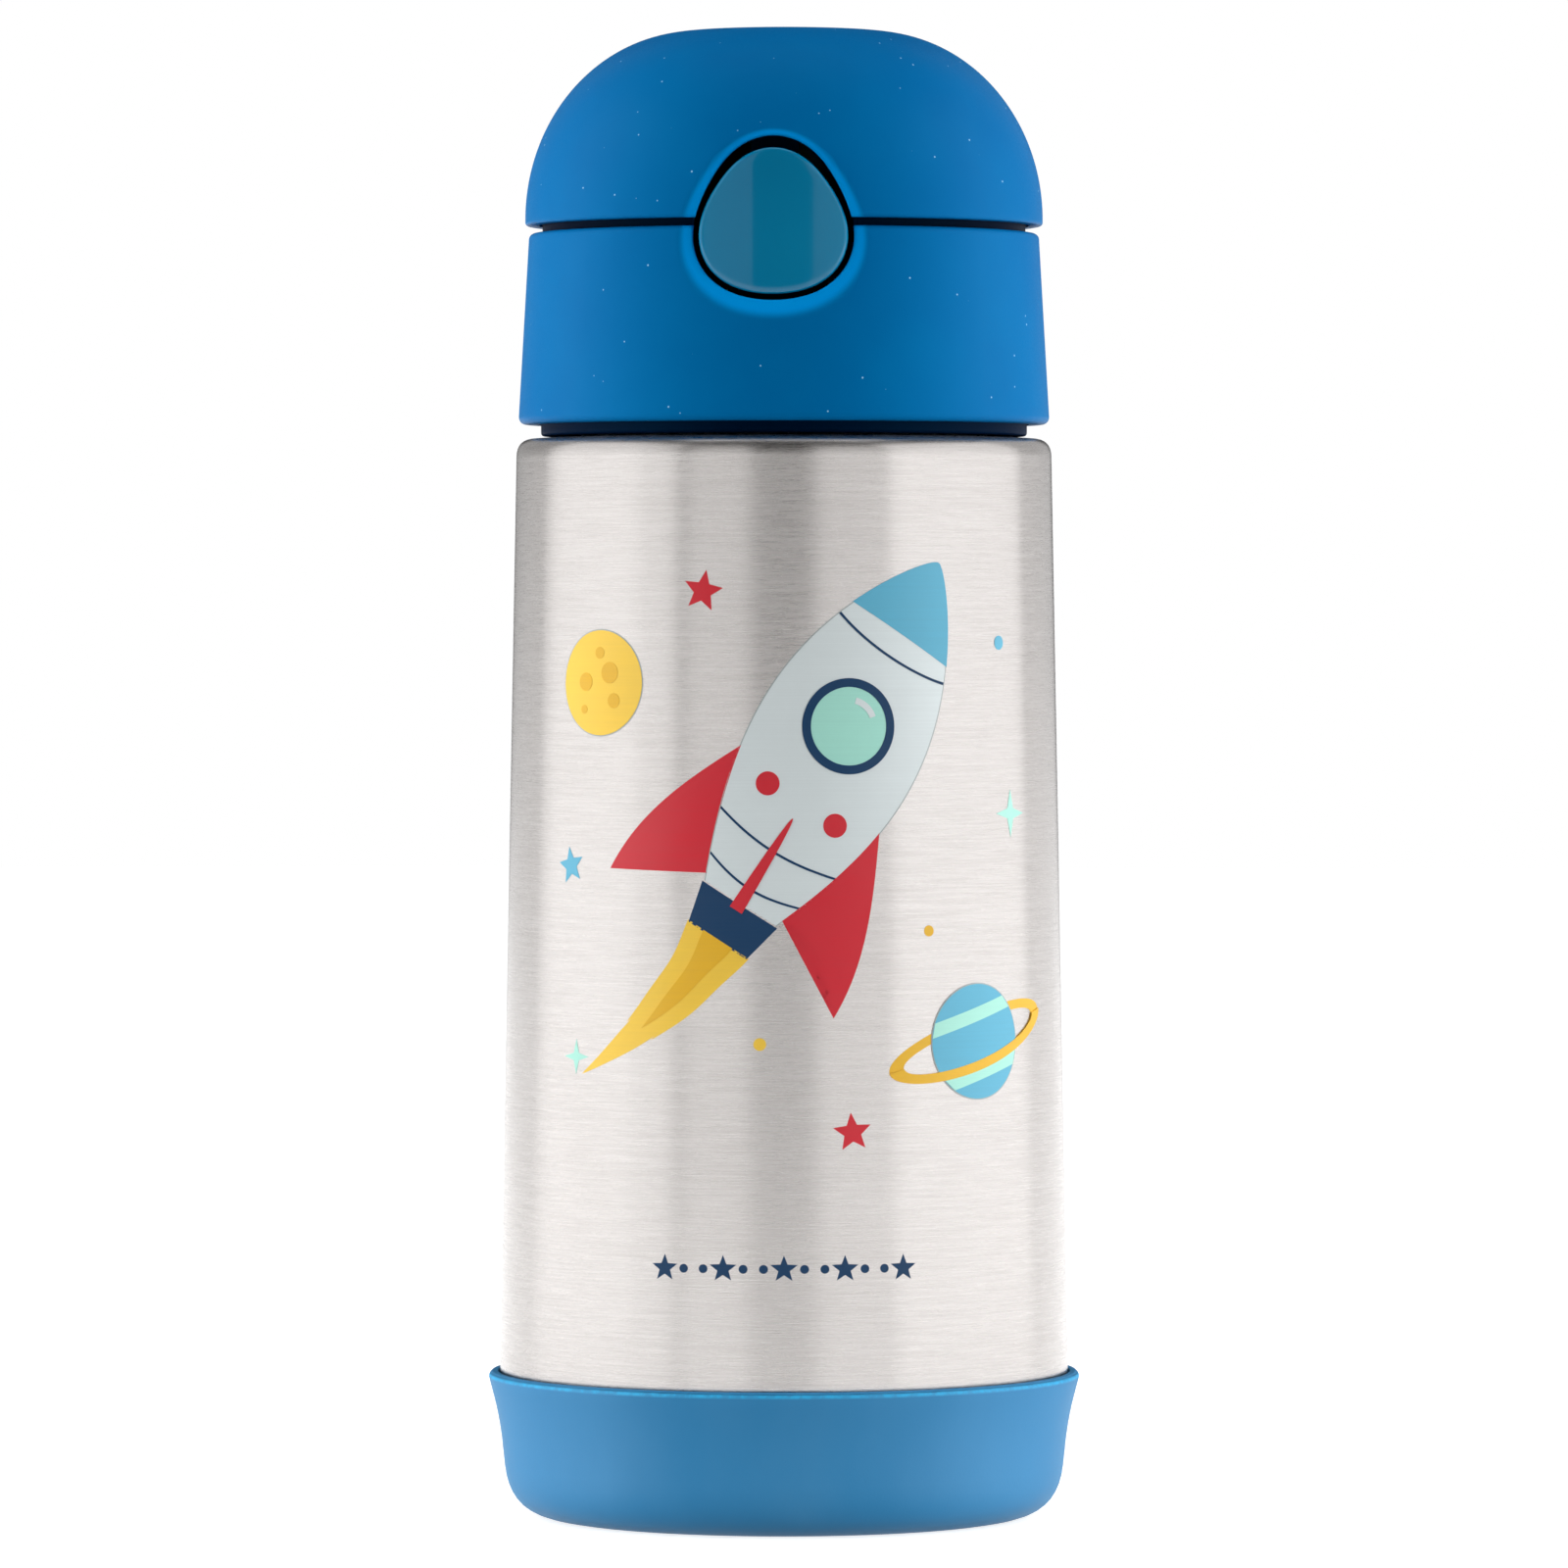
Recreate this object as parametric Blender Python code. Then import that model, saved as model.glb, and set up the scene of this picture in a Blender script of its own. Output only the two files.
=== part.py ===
"""Insulated steel water bottle for a child: a screw-on lid, a push-button flip cap and a silicone boot.

Metres, +Z up, front towards -Y. The origin is the middle of the foot, on the floor.
Every piece that touches another one stays GAP away from it.
"""

import math

import bmesh
import bpy
from mathutils import Vector

MM = 0.001
GAP = 0.3 * MM  # left between pieces that touch
PLAY = 0.4 * MM  # left between pieces that slide past each other
SHY = 0.05 * MM  # keeps the faces of joined shapes out of one plane
SHARP_EDGE = math.radians(35)  # steeper edges than this stay sharp
SIDES = 36  # of a large round piece
FEW_SIDES = 20  # of a small round piece
OUTLINE_POINTS = 36  # around the button

# Steel body
SHOULDER_HEIGHT = 138.0 * MM
BASE_RADIUS = 36.4 * MM  # widest, at the boot's rim
BODY_TAPER = 2.2 * MM  # how much slimmer the shoulder is
SHOULDER_ROUND = 2.0 * MM
SHOULDER_WIDTH = 8.2 * MM  # from the side of the body in to the neck
STEEL_WALL = 0.6 * MM
VACUUM_GAP = 2.6 * MM
FOOT_TAPER = 2.9 * MM  # how far the wall draws in inside the boot
FOOT_CORNER = 4.0 * MM
FOOT_FLANGE = 3.5 * MM  # flat ring under the wall that the base plate is welded in
BASE_CAVITY = 4.0 * MM  # between the base plate and the inner vessel
DIMPLE_RADIUS = 6.0 * MM
DIMPLE_DEPTH = 0.9 * MM
BEAD_RADIUS = 2.6 * MM
BEAD_HEIGHT = 0.5 * MM
GETTER_RADIUS = 5.0 * MM
GETTER_THICKNESS = 0.8 * MM

# Boot
BOOT_HEIGHT = 18.7 * MM
BOOT_FLOOR = 2.4 * MM
BOOT_WALL = 1.4 * MM
BOOT_RIM_PROUD = 1.5 * MM  # rim beyond the steel
BOOT_FLARE_START = 12.6 * MM  # height where the side starts to flare
BOOT_RIM_ROUND = 0.7 * MM
FOOT_RECESS_RADIUS = 21.0 * MM
FOOT_RECESS_DEPTH = 0.8 * MM

# Lid
COLLAR_LIFT = 1.8 * MM  # open line between shoulder and collar
COLLAR_HEIGHT = 24.4 * MM
COLLAR_INSET = 0.2 * MM  # collar's foot inside the body's side
COLLAR_TAPER = 1.4 * MM
COLLAR_ROUND = 1.2 * MM
INSERT_INSET = 3.1 * MM  # insert's side inside the body's side
SEAM = 1.0 * MM  # open line between collar and cap
SPIGOT_HEIGHT = 1.8 * MM
SPIGOT_WALL = 1.5 * MM
DECK_DEPTH = 9.4 * MM  # from the collar's top down to the deck
DECK_WALL = 2.2 * MM
INSERT_RIM = 3.3 * MM  # insert's wall above the deck
GASKET_THICKNESS = 2.0 * MM
GASKET_ROUND = 0.5 * MM
GASKET_INSIDE = 1.2 * MM  # how far it reaches in over the mouth

# Thread
THREAD_LEAD = 3.0 * MM
THREAD_HEIGHT = 1.0 * MM
THREAD_BASE = 1.5 * MM
THREAD_CREST = 0.7 * MM
THREAD_BURIED = 0.25 * MM  # how far a ridge is sunk in its wall
THREAD_FOOT = 0.6 * MM  # from the shoulder up to the lid's ridge
THREAD_HEAD = 1.0 * MM  # plain neck above the neck's ridge
THREAD_RUNOUT = 3  # steps over which an end fades out
LID_THREAD_TURNS = 2.0

# Flip cap
CAP_HEIGHT = 24.8 * MM
CAP_PROUD = 0.5 * MM  # cap's side beyond the collar's top
CAP_WALL = 1.8 * MM
CAP_SKIRT = 0.8 * MM  # straight side under the shoulder's curve
CAP_FLAT = 11.5 * MM  # radius of the flat top
CAP_PLATE_WALL = 1.2 * MM
PLATE_CLEAR = 1.9 * MM  # plate above the latch
SEAL_RADIUS = 6.0 * MM
SEAL_THICKNESS = 3.4 * MM
SEAL_ROUND = 0.8 * MM
SEAL_RING_WALL = 1.0 * MM
SEAL_RING_DEPTH = 1.6 * MM  # below the plate

# Hinge, at the back
HINGE_RADIUS = 2.2 * MM
HINGE_STANDOFF = 2.5 * MM  # pin's axis beyond the cap's side
PIN_RADIUS = 1.0 * MM
SPRING_HALF = 2.3 * MM  # half the slot for the hinge spring
LUG_WIDTH = 3.1 * MM
KNUCKLE_WIDTH = 3.3 * MM
LUG_DROP = 8.0 * MM  # how far a lug runs down the collar
ARM_RISE = 5.0 * MM  # how far an arm runs up the cap
HINGE_WIRE = 0.3 * MM
HINGE_COIL = 1.75 * MM
HINGE_TURNS = 5
HINGE_LEG = 6.0 * MM
COIL_STEPS = 12  # straight stretches in a turn of any spring

# Push button, at the front
BUTTON_RADIUS = 9.14 * MM
BUTTON_BULGE = 0.52 * MM  # makes the outline a rounded triangle, point up
BUTTON_SINK = 0.2 * MM
BUTTON_THICKNESS = 2.0 * MM
BUTTON_ROUND = 0.5 * MM
BUTTON_GAP = 0.75 * MM
BUTTON_HEADROOM = 0.8 * MM  # extra gap over the button's top
BUTTON_TRAVEL = 2.5 * MM
DISH_WIDTH = 1.8 * MM
DISH_LEAN = 0.8 * MM  # dish is this much wider below and narrower above
DISH_DEPTH = 0.9 * MM
STEM_HALF = 4.5 * MM
STEM_HEIGHT = 4.0 * MM
STEM_LENGTH = 5.0 * MM  # behind the upright
UPRIGHT_HALF = 3.0 * MM
UPRIGHT_WALL = 1.8 * MM
PAD_HALF = 4.0 * MM
PAD_HEIGHT = 8.0 * MM
NOSE_HEIGHT = 1.0 * MM
NOSE_LENGTH = 1.0 * MM
NOSE_INSIDE = 0.4 * MM  # nose to the dome's inner side
NOSE_CLEAR = 0.7 * MM  # nose to catch; it leaves room for the cap's arc
CATCH_HEIGHT = 0.9 * MM
GUIDE_WALL = 1.2 * MM
COIL_WIRE = 0.25 * MM
COIL_RADIUS = 1.6 * MM
COIL_LENGTH = 5.5 * MM
COIL_TURNS = 6

# Straw and mouthpiece
SPOUT_BACK = 4.0 * MM  # spout's axis behind the bottle's
SPOUT_RADIUS = 6.4 * MM
SPOUT_TIP_RADIUS = 5.2 * MM
SPOUT_FLANGE = 9.0 * MM
SPOUT_FLANGE_WALL = 2.0 * MM
SPOUT_FLANGE_ROUND = 1.0 * MM
SPOUT_SIDES = 28
SPOUT_BORE = 2.2 * MM
SLEEVE_WALL = 2.0 * MM
SLEEVE_LENGTH = 6.0 * MM
STRAW_RADIUS = 3.5 * MM
STRAW_WALL = 0.9 * MM
STRAW_CLEAR = 4.0 * MM  # straw's end above the vessel's floor
VENT_X = 13.0 * MM
VENT_Y = 9.0 * MM
VENT_RADIUS = 3.2 * MM
VENT_STEM = 1.0 * MM
VENT_BULB = 1.7 * MM
VENT_TAIL = 2.5 * MM
VENT_LIP = 1.0 * MM

# Finishes: colour, roughness, metallic
BRUSHED_STEEL = ((0.62, 0.60, 0.58), 0.32, 1.0)
PLAIN_STEEL = ((0.70, 0.70, 0.70), 0.22, 1.0)
BLUE_PLASTIC = ((0.0, 0.17, 0.48), 0.45, 0.0)
DARK_BLUE_PLASTIC = ((0.0, 0.06, 0.16), 0.45, 0.0)
TEAL_PLASTIC = ((0.0, 0.14, 0.21), 0.12, 0.0)
BLUE_SILICONE = ((0.03, 0.22, 0.48), 0.60, 0.0)
CLEAR_SILICONE = ((0.80, 0.84, 0.86), 0.35, 0.0)
WHITE_SILICONE = ((0.82, 0.83, 0.82), 0.50, 0.0)
CLEAR_PLASTIC = ((0.78, 0.84, 0.88), 0.15, 0.0)

# Heights that follow from the sizes above
STEEL_FOOT = BOOT_FLOOR + GAP
VESSEL_FOOT = STEEL_FOOT + STEEL_WALL + BASE_CAVITY
COLLAR_FOOT = SHOULDER_HEIGHT + COLLAR_LIFT
COLLAR_TOP = COLLAR_FOOT + COLLAR_HEIGHT
CAP_FOOT = COLLAR_TOP + SEAM
CAP_TOP = CAP_FOOT + CAP_HEIGHT
DECK_TOP = COLLAR_TOP - DECK_DEPTH
DECK_UNDER = DECK_TOP - DECK_WALL
GASKET_TOP = DECK_UNDER - GAP
LIP = GASKET_TOP - GASKET_THICKNESS - GAP
INSERT_TOP = DECK_TOP + INSERT_RIM
BUTTON_Z = (COLLAR_TOP + CAP_FOOT) / 2
ARCH_TOP = BUTTON_Z + BUTTON_RADIUS + BUTTON_GAP + BUTTON_HEADROOM
CATCH_LOW = ARCH_TOP + GAP
NOSE_LOW = CATCH_LOW + CATCH_HEIGHT + GAP
NOSE_TOP = NOSE_LOW + NOSE_HEIGHT

# Radii that follow from the sizes above
TOP_RADIUS = BASE_RADIUS - BODY_TAPER
FOOT_RADIUS = BASE_RADIUS - FOOT_TAPER
NECK_RADIUS = TOP_RADIUS - SHOULDER_WIDTH
INSERT_BORE = NECK_RADIUS + THREAD_HEIGHT + GAP
INSERT_RADIUS = TOP_RADIUS - INSERT_INSET
COLLAR_BORE = INSERT_RADIUS + GAP
COLLAR_FOOT_RADIUS = TOP_RADIUS - COLLAR_INSET
COLLAR_TOP_RADIUS = COLLAR_FOOT_RADIUS - COLLAR_TAPER
CAP_RADIUS = COLLAR_TOP_RADIUS + CAP_PROUD
SPIGOT_RADIUS = CAP_RADIUS - CAP_WALL - PLAY
BUTTON_FACE = COLLAR_TOP_RADIUS - BUTTON_SINK
BUTTON_BACK = BUTTON_FACE - BUTTON_THICKNESS
HINGE_Y = CAP_RADIUS + HINGE_STANDOFF
HINGE_Z = CAP_FOOT
SLEEVE_BORE = STRAW_RADIUS + GAP
SLEEVE_RADIUS = SLEEVE_BORE + SLEEVE_WALL
SPOUT_HOLE = SLEEVE_RADIUS + GAP


def clear_scene():
    for old in list(bpy.data.objects):
        bpy.data.objects.remove(old, do_unlink=True)


def material(name, finish):
    """The piece's own material, from a finish's colour, roughness and metallic value."""
    colour, roughness, metallic = finish
    made = bpy.data.materials.new(name)
    made.use_nodes = True
    shader = made.node_tree.nodes["Principled BSDF"]
    shader.inputs["Base Color"].default_value = (*colour, 1.0)
    shader.inputs["Roughness"].default_value = roughness
    shader.inputs["Metallic"].default_value = metallic
    made.diffuse_color = (*colour, 1.0)
    return made


def piece(name, bm, finish):
    """Puts a bmesh into the scene as one object, faces outwards, round parts smooth."""
    bmesh.ops.recalc_face_normals(bm, faces=bm.faces)
    mesh = bpy.data.meshes.new(name)
    bm.to_mesh(mesh)
    bm.free()
    mesh.shade_smooth()
    mesh.set_sharp_from_angle(angle=SHARP_EDGE)
    if finish:
        mesh.materials.append(material(name, finish))
    made = bpy.data.objects.new(name, mesh)
    bpy.context.scene.collection.objects.link(made)
    return made


def helper(made):
    """Marks an object that only serves a Boolean."""
    made.hide_render = True
    made.display_type = "WIRE"
    return made


def boolean(made, other, operation):
    modifier = made.modifiers.new(f"{operation.lower()}_{other.name}", "BOOLEAN")
    modifier.operation = operation
    modifier.solver = "EXACT"
    modifier.object = helper(other)


def cut(made, *cutters):
    for cutter in cutters:
        boolean(made, cutter, "DIFFERENCE")


def join(made, *others):
    for other in others:
        boolean(made, other, "UNION")


def arc(centre_r, centre_z, radius_r, radius_z, start, end, steps):
    """Points of an elliptical arc in a turned profile, angles in degrees from +R."""
    turns = [math.radians(start + (end - start) * i / steps) for i in range(steps + 1)]
    return [(centre_r + radius_r * math.cos(a), centre_z + radius_z * math.sin(a)) for a in turns]


def corner_arc(edge_r, edge_z, radius, start, end, steps):
    """The arc that rounds the outer corner where a side at edge_r meets an end at edge_z.

    Angles below 0 round a bottom corner, and angles from 0 on a top one.
    """
    up = 1 if end > 0 else -1
    return arc(edge_r - radius, edge_z - up * radius, radius, radius, start, end, steps)


def offset(line, distance):
    """The line moved sideways to its left by distance, with mitred corners."""
    points = [Vector(p) for p in line]
    ways = [(b - a).normalized() for a, b in zip(points, points[1:])]
    moved = []
    for i, point in enumerate(points):
        before, after = ways[max(i - 1, 0)], ways[min(i, len(ways) - 1)]
        middle = (before + after).normalized()
        side = Vector((-middle.y, middle.x))
        mitre = side.dot(Vector((-after.y, after.x)))
        moved.append(tuple(point + side * distance / mitre))
    return moved


def turned(name, profile, finish, sides=SIDES, centre=(0.0, 0.0)):
    """A closed profile of (radius, height) points spun round a vertical axis.

    A piece off the bottle's axis is turned by half a side, so that its corners miss those round it.
    """
    bm = bmesh.new()
    start = math.pi / sides if any(centre) else 0.0
    points = [bm.verts.new((r * math.cos(start), r * math.sin(start), z)) for r, z in profile]
    edges = [bm.edges.new(pair) for pair in zip(points, points[1:] + points[:1])]
    bmesh.ops.spin(
        bm, geom=points + edges, cent=(0, 0, 0), axis=(0, 0, 1), angle=math.tau, steps=sides, use_merge=True
    )
    bmesh.ops.remove_doubles(bm, verts=bm.verts, dist=0.001 * MM)
    on_axis = [e for e in bm.edges if all(math.hypot(v.co.x, v.co.y) < 0.01 * MM for v in e.verts)]
    bmesh.ops.delete(bm, geom=on_axis, context="EDGES")
    bmesh.ops.translate(bm, verts=bm.verts, vec=(*centre, 0.0))
    return piece(name, bm, finish)


def stacked(name, rings, finish):
    """Loops of equal length joined one to the next and closed at both ends."""
    bm = bmesh.new()
    loops = [[bm.verts.new(p) for p in ring] for ring in rings]
    for low, high in zip(loops, loops[1:]):
        for i, corner in enumerate(low):
            j = (i + 1) % len(low)
            bm.faces.new((corner, low[j], high[j], high[i]))
    for end in (loops[0], loops[-1]):
        bm.faces.new(end)
    return piece(name, bm, finish)


def block(name, low, high, finish):
    """An upright box from its low corner to its high one."""
    bm = bmesh.new()
    bmesh.ops.create_cube(bm, size=1.0)
    size = Vector(high) - Vector(low)
    bmesh.ops.scale(bm, verts=bm.verts, vec=size)
    bmesh.ops.translate(bm, verts=bm.verts, vec=(Vector(high) + Vector(low)) / 2)
    return piece(name, bm, finish)


def slab_x(name, outline, low_x, high_x, finish):
    """An outline of (y, z) points extruded along X."""
    return stacked(name, [[(x, y, z) for y, z in outline] for x in (low_x, high_x)], finish)


def rod_x(name, radius, low_x, high_x, centre_y, centre_z, finish):
    outline = arc(centre_y, centre_z, radius, radius, 0, 360, FEW_SIDES)[:-1]
    return slab_x(name, outline, low_x, high_x, finish)


def wire(name, points, radius, finish):
    """A round wire along a list of points."""
    curve = bpy.data.curves.new(name, "CURVE")
    curve.dimensions = "3D"
    curve.bevel_depth = radius
    curve.bevel_resolution = 1
    curve.use_fill_caps = True
    line = curve.splines.new("POLY")
    line.points.add(len(points) - 1)
    for target, point in zip(line.points, points):
        target.co = (*point, 1.0)
    curve.materials.append(material(name, finish))
    made = bpy.data.objects.new(name, curve)
    bpy.context.scene.collection.objects.link(made)
    return made


def pivot(name, place):
    """An empty on a joint's axis, which the pieces of the moving body hang from."""
    empty = bpy.data.objects.new(name, None)
    empty.location = place
    bpy.context.scene.collection.objects.link(empty)
    return empty


def hang(empty, *pieces):
    for made in pieces:
        made.parent = empty
        made.location = -empty.location


# Steel body


def wall_line():
    """Outer side of the outer wall, from the base flange up to the lip."""
    corner = corner_arc(FOOT_RADIUS, STEEL_FOOT, FOOT_CORNER, -90, 0, 4)
    shoulder = corner_arc(TOP_RADIUS, SHOULDER_HEIGHT, SHOULDER_ROUND, 0, 90, 4)
    return [
        (FOOT_RADIUS - FOOT_CORNER - FOOT_FLANGE, STEEL_FOOT),
        *corner,
        (BASE_RADIUS, BOOT_HEIGHT),
        *shoulder,
        (NECK_RADIUS, SHOULDER_HEIGHT),
        (NECK_RADIUS, LIP),
    ]


def thread_ridge(name, wall_radius, crest_radius, foot, turns):
    """A helical ridge, right-handed, whose ends fade into the wall that carries it."""
    inward = crest_radius < wall_radius
    root_radius = wall_radius + (THREAD_BURIED if inward else -THREAD_BURIED)
    steps = round(turns * SIDES)
    rings = []
    for i in range(steps + 1):
        turn = (i + 0.5) / SIDES  # its corners fall between the wall's own
        angle = math.tau * turn
        middle = foot + THREAD_LEAD * turn
        rise = min(1.0, i / THREAD_RUNOUT, (steps - i) / THREAD_RUNOUT)
        tip = root_radius + (crest_radius - root_radius) * max(rise, 0.1)
        section = [
            (root_radius, middle - THREAD_BASE / 2),
            (tip, middle - THREAD_CREST / 2),
            (tip, middle + THREAD_CREST / 2),
            (root_radius, middle + THREAD_BASE / 2),
        ]
        rings.append([(r * math.cos(angle), r * math.sin(angle), z) for r, z in section])
    return stacked(name, rings, None)


def lid_thread_foot():
    """Middle of the lid's ridge where it starts."""
    return SHOULDER_HEIGHT + THREAD_FOOT + THREAD_BASE / 2


def neck_thread_foot():
    """Middle of the neck's ridge where it starts: it runs halfway between the lid's turns."""
    return lid_thread_foot() + THREAD_LEAD / 2


def neck_thread_turns():
    return (LIP - THREAD_HEAD - THREAD_BASE / 2 - neck_thread_foot()) / THREAD_LEAD


def outer_wall():
    line = wall_line()
    made = turned("outer_wall", line + offset(line, STEEL_WALL)[::-1], BRUSHED_STEEL)
    crest = NECK_RADIUS + THREAD_HEIGHT
    join(made, thread_ridge("neck_thread", NECK_RADIUS, crest, neck_thread_foot(), neck_thread_turns()))
    return made


def vessel_line():
    """Outer side of the inner vessel, from the middle of its floor up to the lip."""
    inset = STEEL_WALL + VACUUM_GAP
    corner = corner_arc(FOOT_RADIUS - inset, VESSEL_FOOT, FOOT_CORNER, -90, 0, 4)
    shoulder = corner_arc(TOP_RADIUS - inset, SHOULDER_HEIGHT - inset, SHOULDER_ROUND, 0, 90, 3)
    neck = NECK_RADIUS - STEEL_WALL - GAP
    return [
        (0.0, VESSEL_FOOT),
        *corner,
        (BASE_RADIUS - inset, BOOT_HEIGHT),
        *shoulder,
        (neck + inset / 2, SHOULDER_HEIGHT - inset),
        (neck, SHOULDER_HEIGHT - inset / 3),
        (neck, LIP),
    ]


def inner_vessel():
    line = vessel_line()
    inside = offset(line, STEEL_WALL)
    inside[0] = (0.0, VESSEL_FOOT + STEEL_WALL)
    return turned("inner_vessel", line + inside[::-1], PLAIN_STEEL)


def base_plate():
    edge = FOOT_RADIUS - FOOT_CORNER - FOOT_FLANGE - GAP
    line = [
        (0.0, STEEL_FOOT + DIMPLE_DEPTH),
        (DIMPLE_RADIUS - DIMPLE_DEPTH, STEEL_FOOT + DIMPLE_DEPTH),
        (DIMPLE_RADIUS, STEEL_FOOT),
        (edge, STEEL_FOOT),
    ]
    upper = offset(line, STEEL_WALL)
    return turned("base_plate", line + upper[::-1], PLAIN_STEEL)


def vacuum_seal():
    """Bead of glass in the dimple, over the port that the air was drawn out of."""
    top = STEEL_FOOT + DIMPLE_DEPTH - GAP
    bead = arc(0.0, top, BEAD_RADIUS, BEAD_HEIGHT, -90, 0, 3)
    return turned("vacuum_seal", [*bead, (0.0, top)], PLAIN_STEEL, FEW_SIDES)


def getter():
    """Pill under the vessel's floor that keeps the vacuum clean."""
    high = VESSEL_FOOT - GAP
    low = high - GETTER_THICKNESS
    profile = [(0.0, low), (GETTER_RADIUS, low), (GETTER_RADIUS, high), (0.0, high)]
    return turned("vacuum_getter", profile, PLAIN_STEEL, FEW_SIDES)


def boot():
    """Silicone boot: wraps the foot of the steel and flares to a rim."""
    side = FOOT_RADIUS + GAP + BOOT_WALL
    corner = FOOT_CORNER + GAP + BOOT_WALL
    rim = BASE_RADIUS + BOOT_RIM_PROUD
    waist = FOOT_RADIUS + FOOT_TAPER * BOOT_FLARE_START / BOOT_HEIGHT + GAP + BOOT_WALL / 2
    outside = [
        (0.0, FOOT_RECESS_DEPTH),
        (FOOT_RECESS_RADIUS, FOOT_RECESS_DEPTH),
        (FOOT_RECESS_RADIUS + FOOT_RECESS_DEPTH, 0.0),
        *arc(side - corner, corner, corner, corner, -90, -8, 5),
        (waist, BOOT_FLARE_START),
        (rim, BOOT_HEIGHT - BOOT_RIM_ROUND),
        (BASE_RADIUS + 2 * GAP, BOOT_HEIGHT),
    ]
    inside = [
        (BASE_RADIUS + GAP, BOOT_HEIGHT - GAP),
        *arc(side - corner, corner, FOOT_CORNER + GAP, corner - BOOT_FLOOR, 0, -90, 4),
        (0.0, BOOT_FLOOR),
    ]
    return turned("silicone_boot", outside + inside, BLUE_SILICONE)


# Lid


def collar_radius(z):
    """Outer radius of the collar at height z."""
    share = (z - COLLAR_FOOT) / (COLLAR_TOP - COLLAR_FOOT)
    return COLLAR_FOOT_RADIUS - COLLAR_TAPER * min(max(share, 0.0), 1.0)


def cap_radius(z, wall=0.0):
    """Outer radius of the cap at height z, or its inner one with its wall given."""
    rise = max(0.0, z - CAP_FOOT - CAP_SKIRT) / (CAP_HEIGHT - CAP_SKIRT - wall)
    return CAP_FLAT + (CAP_RADIUS - wall - CAP_FLAT) * math.sqrt(max(0.0, 1 - rise * rise))


def front_radius(z):
    return cap_radius(z) if z > BUTTON_Z else collar_radius(z)


def button_outline(grow):
    """(x, z) points of the button's outline, grown by grow(angle): a rounded triangle, point up."""
    found = []
    for i in range(OUTLINE_POINTS):
        t = math.tau * (i + 0.5) / OUTLINE_POINTS
        radius = BUTTON_RADIUS - 2 * BUTTON_BULGE * math.sin(2 * t) * math.cos(t) + grow(t)
        found.append((radius * math.cos(t), BUTTON_Z + radius * math.sin(t)))
    return found


def around(outline, radius_at):
    """The outline laid on the front of a round body whose radius is radius_at(z)."""
    return [(x, -math.sqrt(radius_at(z) ** 2 - x * x), z) for x, z in outline]


def opening_gap(t):
    return BUTTON_GAP + BUTTON_HEADROOM * max(0.0, math.sin(t)) ** 2


def well(name):
    """Cutter for the button's opening, with a dish around it that follows the surface."""
    beyond = 0.5 * MM

    def dish(t):
        width = DISH_WIDTH - DISH_LEAN * math.sin(t)
        return opening_gap(t) + width * (1 + beyond / DISH_DEPTH)

    hole = button_outline(opening_gap)
    rim = button_outline(dish)
    depth = BUTTON_THICKNESS + BUTTON_TRAVEL + BUTTON_SINK + 2 * PLAY
    rings = [
        [(x, -CAP_RADIUS - 4 * beyond, z) for x, z in rim],
        around(rim, lambda z: front_radius(z) + beyond),
        around(hole, lambda z: front_radius(z) - DISH_DEPTH),
        [(x, depth - COLLAR_TOP_RADIUS, z) for x, z in hole],
    ]
    return stacked(name, rings, None)


def collar_shell():
    profile = [
        (COLLAR_BORE, COLLAR_FOOT),
        *corner_arc(COLLAR_FOOT_RADIUS, COLLAR_FOOT, COLLAR_ROUND, -90, 0, 3),
        *corner_arc(COLLAR_TOP_RADIUS, COLLAR_TOP, COLLAR_ROUND, 0, 90, 3),
        (SPIGOT_RADIUS, COLLAR_TOP),
        (SPIGOT_RADIUS, COLLAR_TOP + SPIGOT_HEIGHT),
        (SPIGOT_RADIUS - SPIGOT_WALL, COLLAR_TOP + SPIGOT_HEIGHT),
        (SPIGOT_RADIUS - SPIGOT_WALL, INSERT_TOP + GAP),
        (COLLAR_BORE, INSERT_TOP + GAP),
    ]
    made = turned("lid_collar", profile, BLUE_PLASTIC)
    for side in (-1, 1):
        join(made, lug(f"collar_lug_{side + 1}", side))
    cut(made, well("collar_well"), pin_hole("collar_pin_hole"))
    return made


def lug(name, side):
    """One of the collar's two ears, which hold the pin either side of the spring."""
    buried = (COLLAR_BORE + COLLAR_TOP_RADIUS) / 2 - GAP
    outline = [
        *[tuple(p) for p in arc(HINGE_Y, HINGE_Z, HINGE_RADIUS, HINGE_RADIUS, 200, -50, 10)],
        (buried, HINGE_Z - LUG_DROP),
        (buried, COLLAR_TOP - GAP),
    ]
    near, far = side * (SPRING_HALF + GAP), side * (SPRING_HALF + GAP + LUG_WIDTH)
    return slab_x(name, outline, near, far, None)


def pin_hole(name):
    reach = SPRING_HALF + LUG_WIDTH + KNUCKLE_WIDTH + 4 * GAP + PIN_RADIUS
    return rod_x(name, PIN_RADIUS + GAP, -reach, reach, HINGE_Y, HINGE_Z, None)


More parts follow.
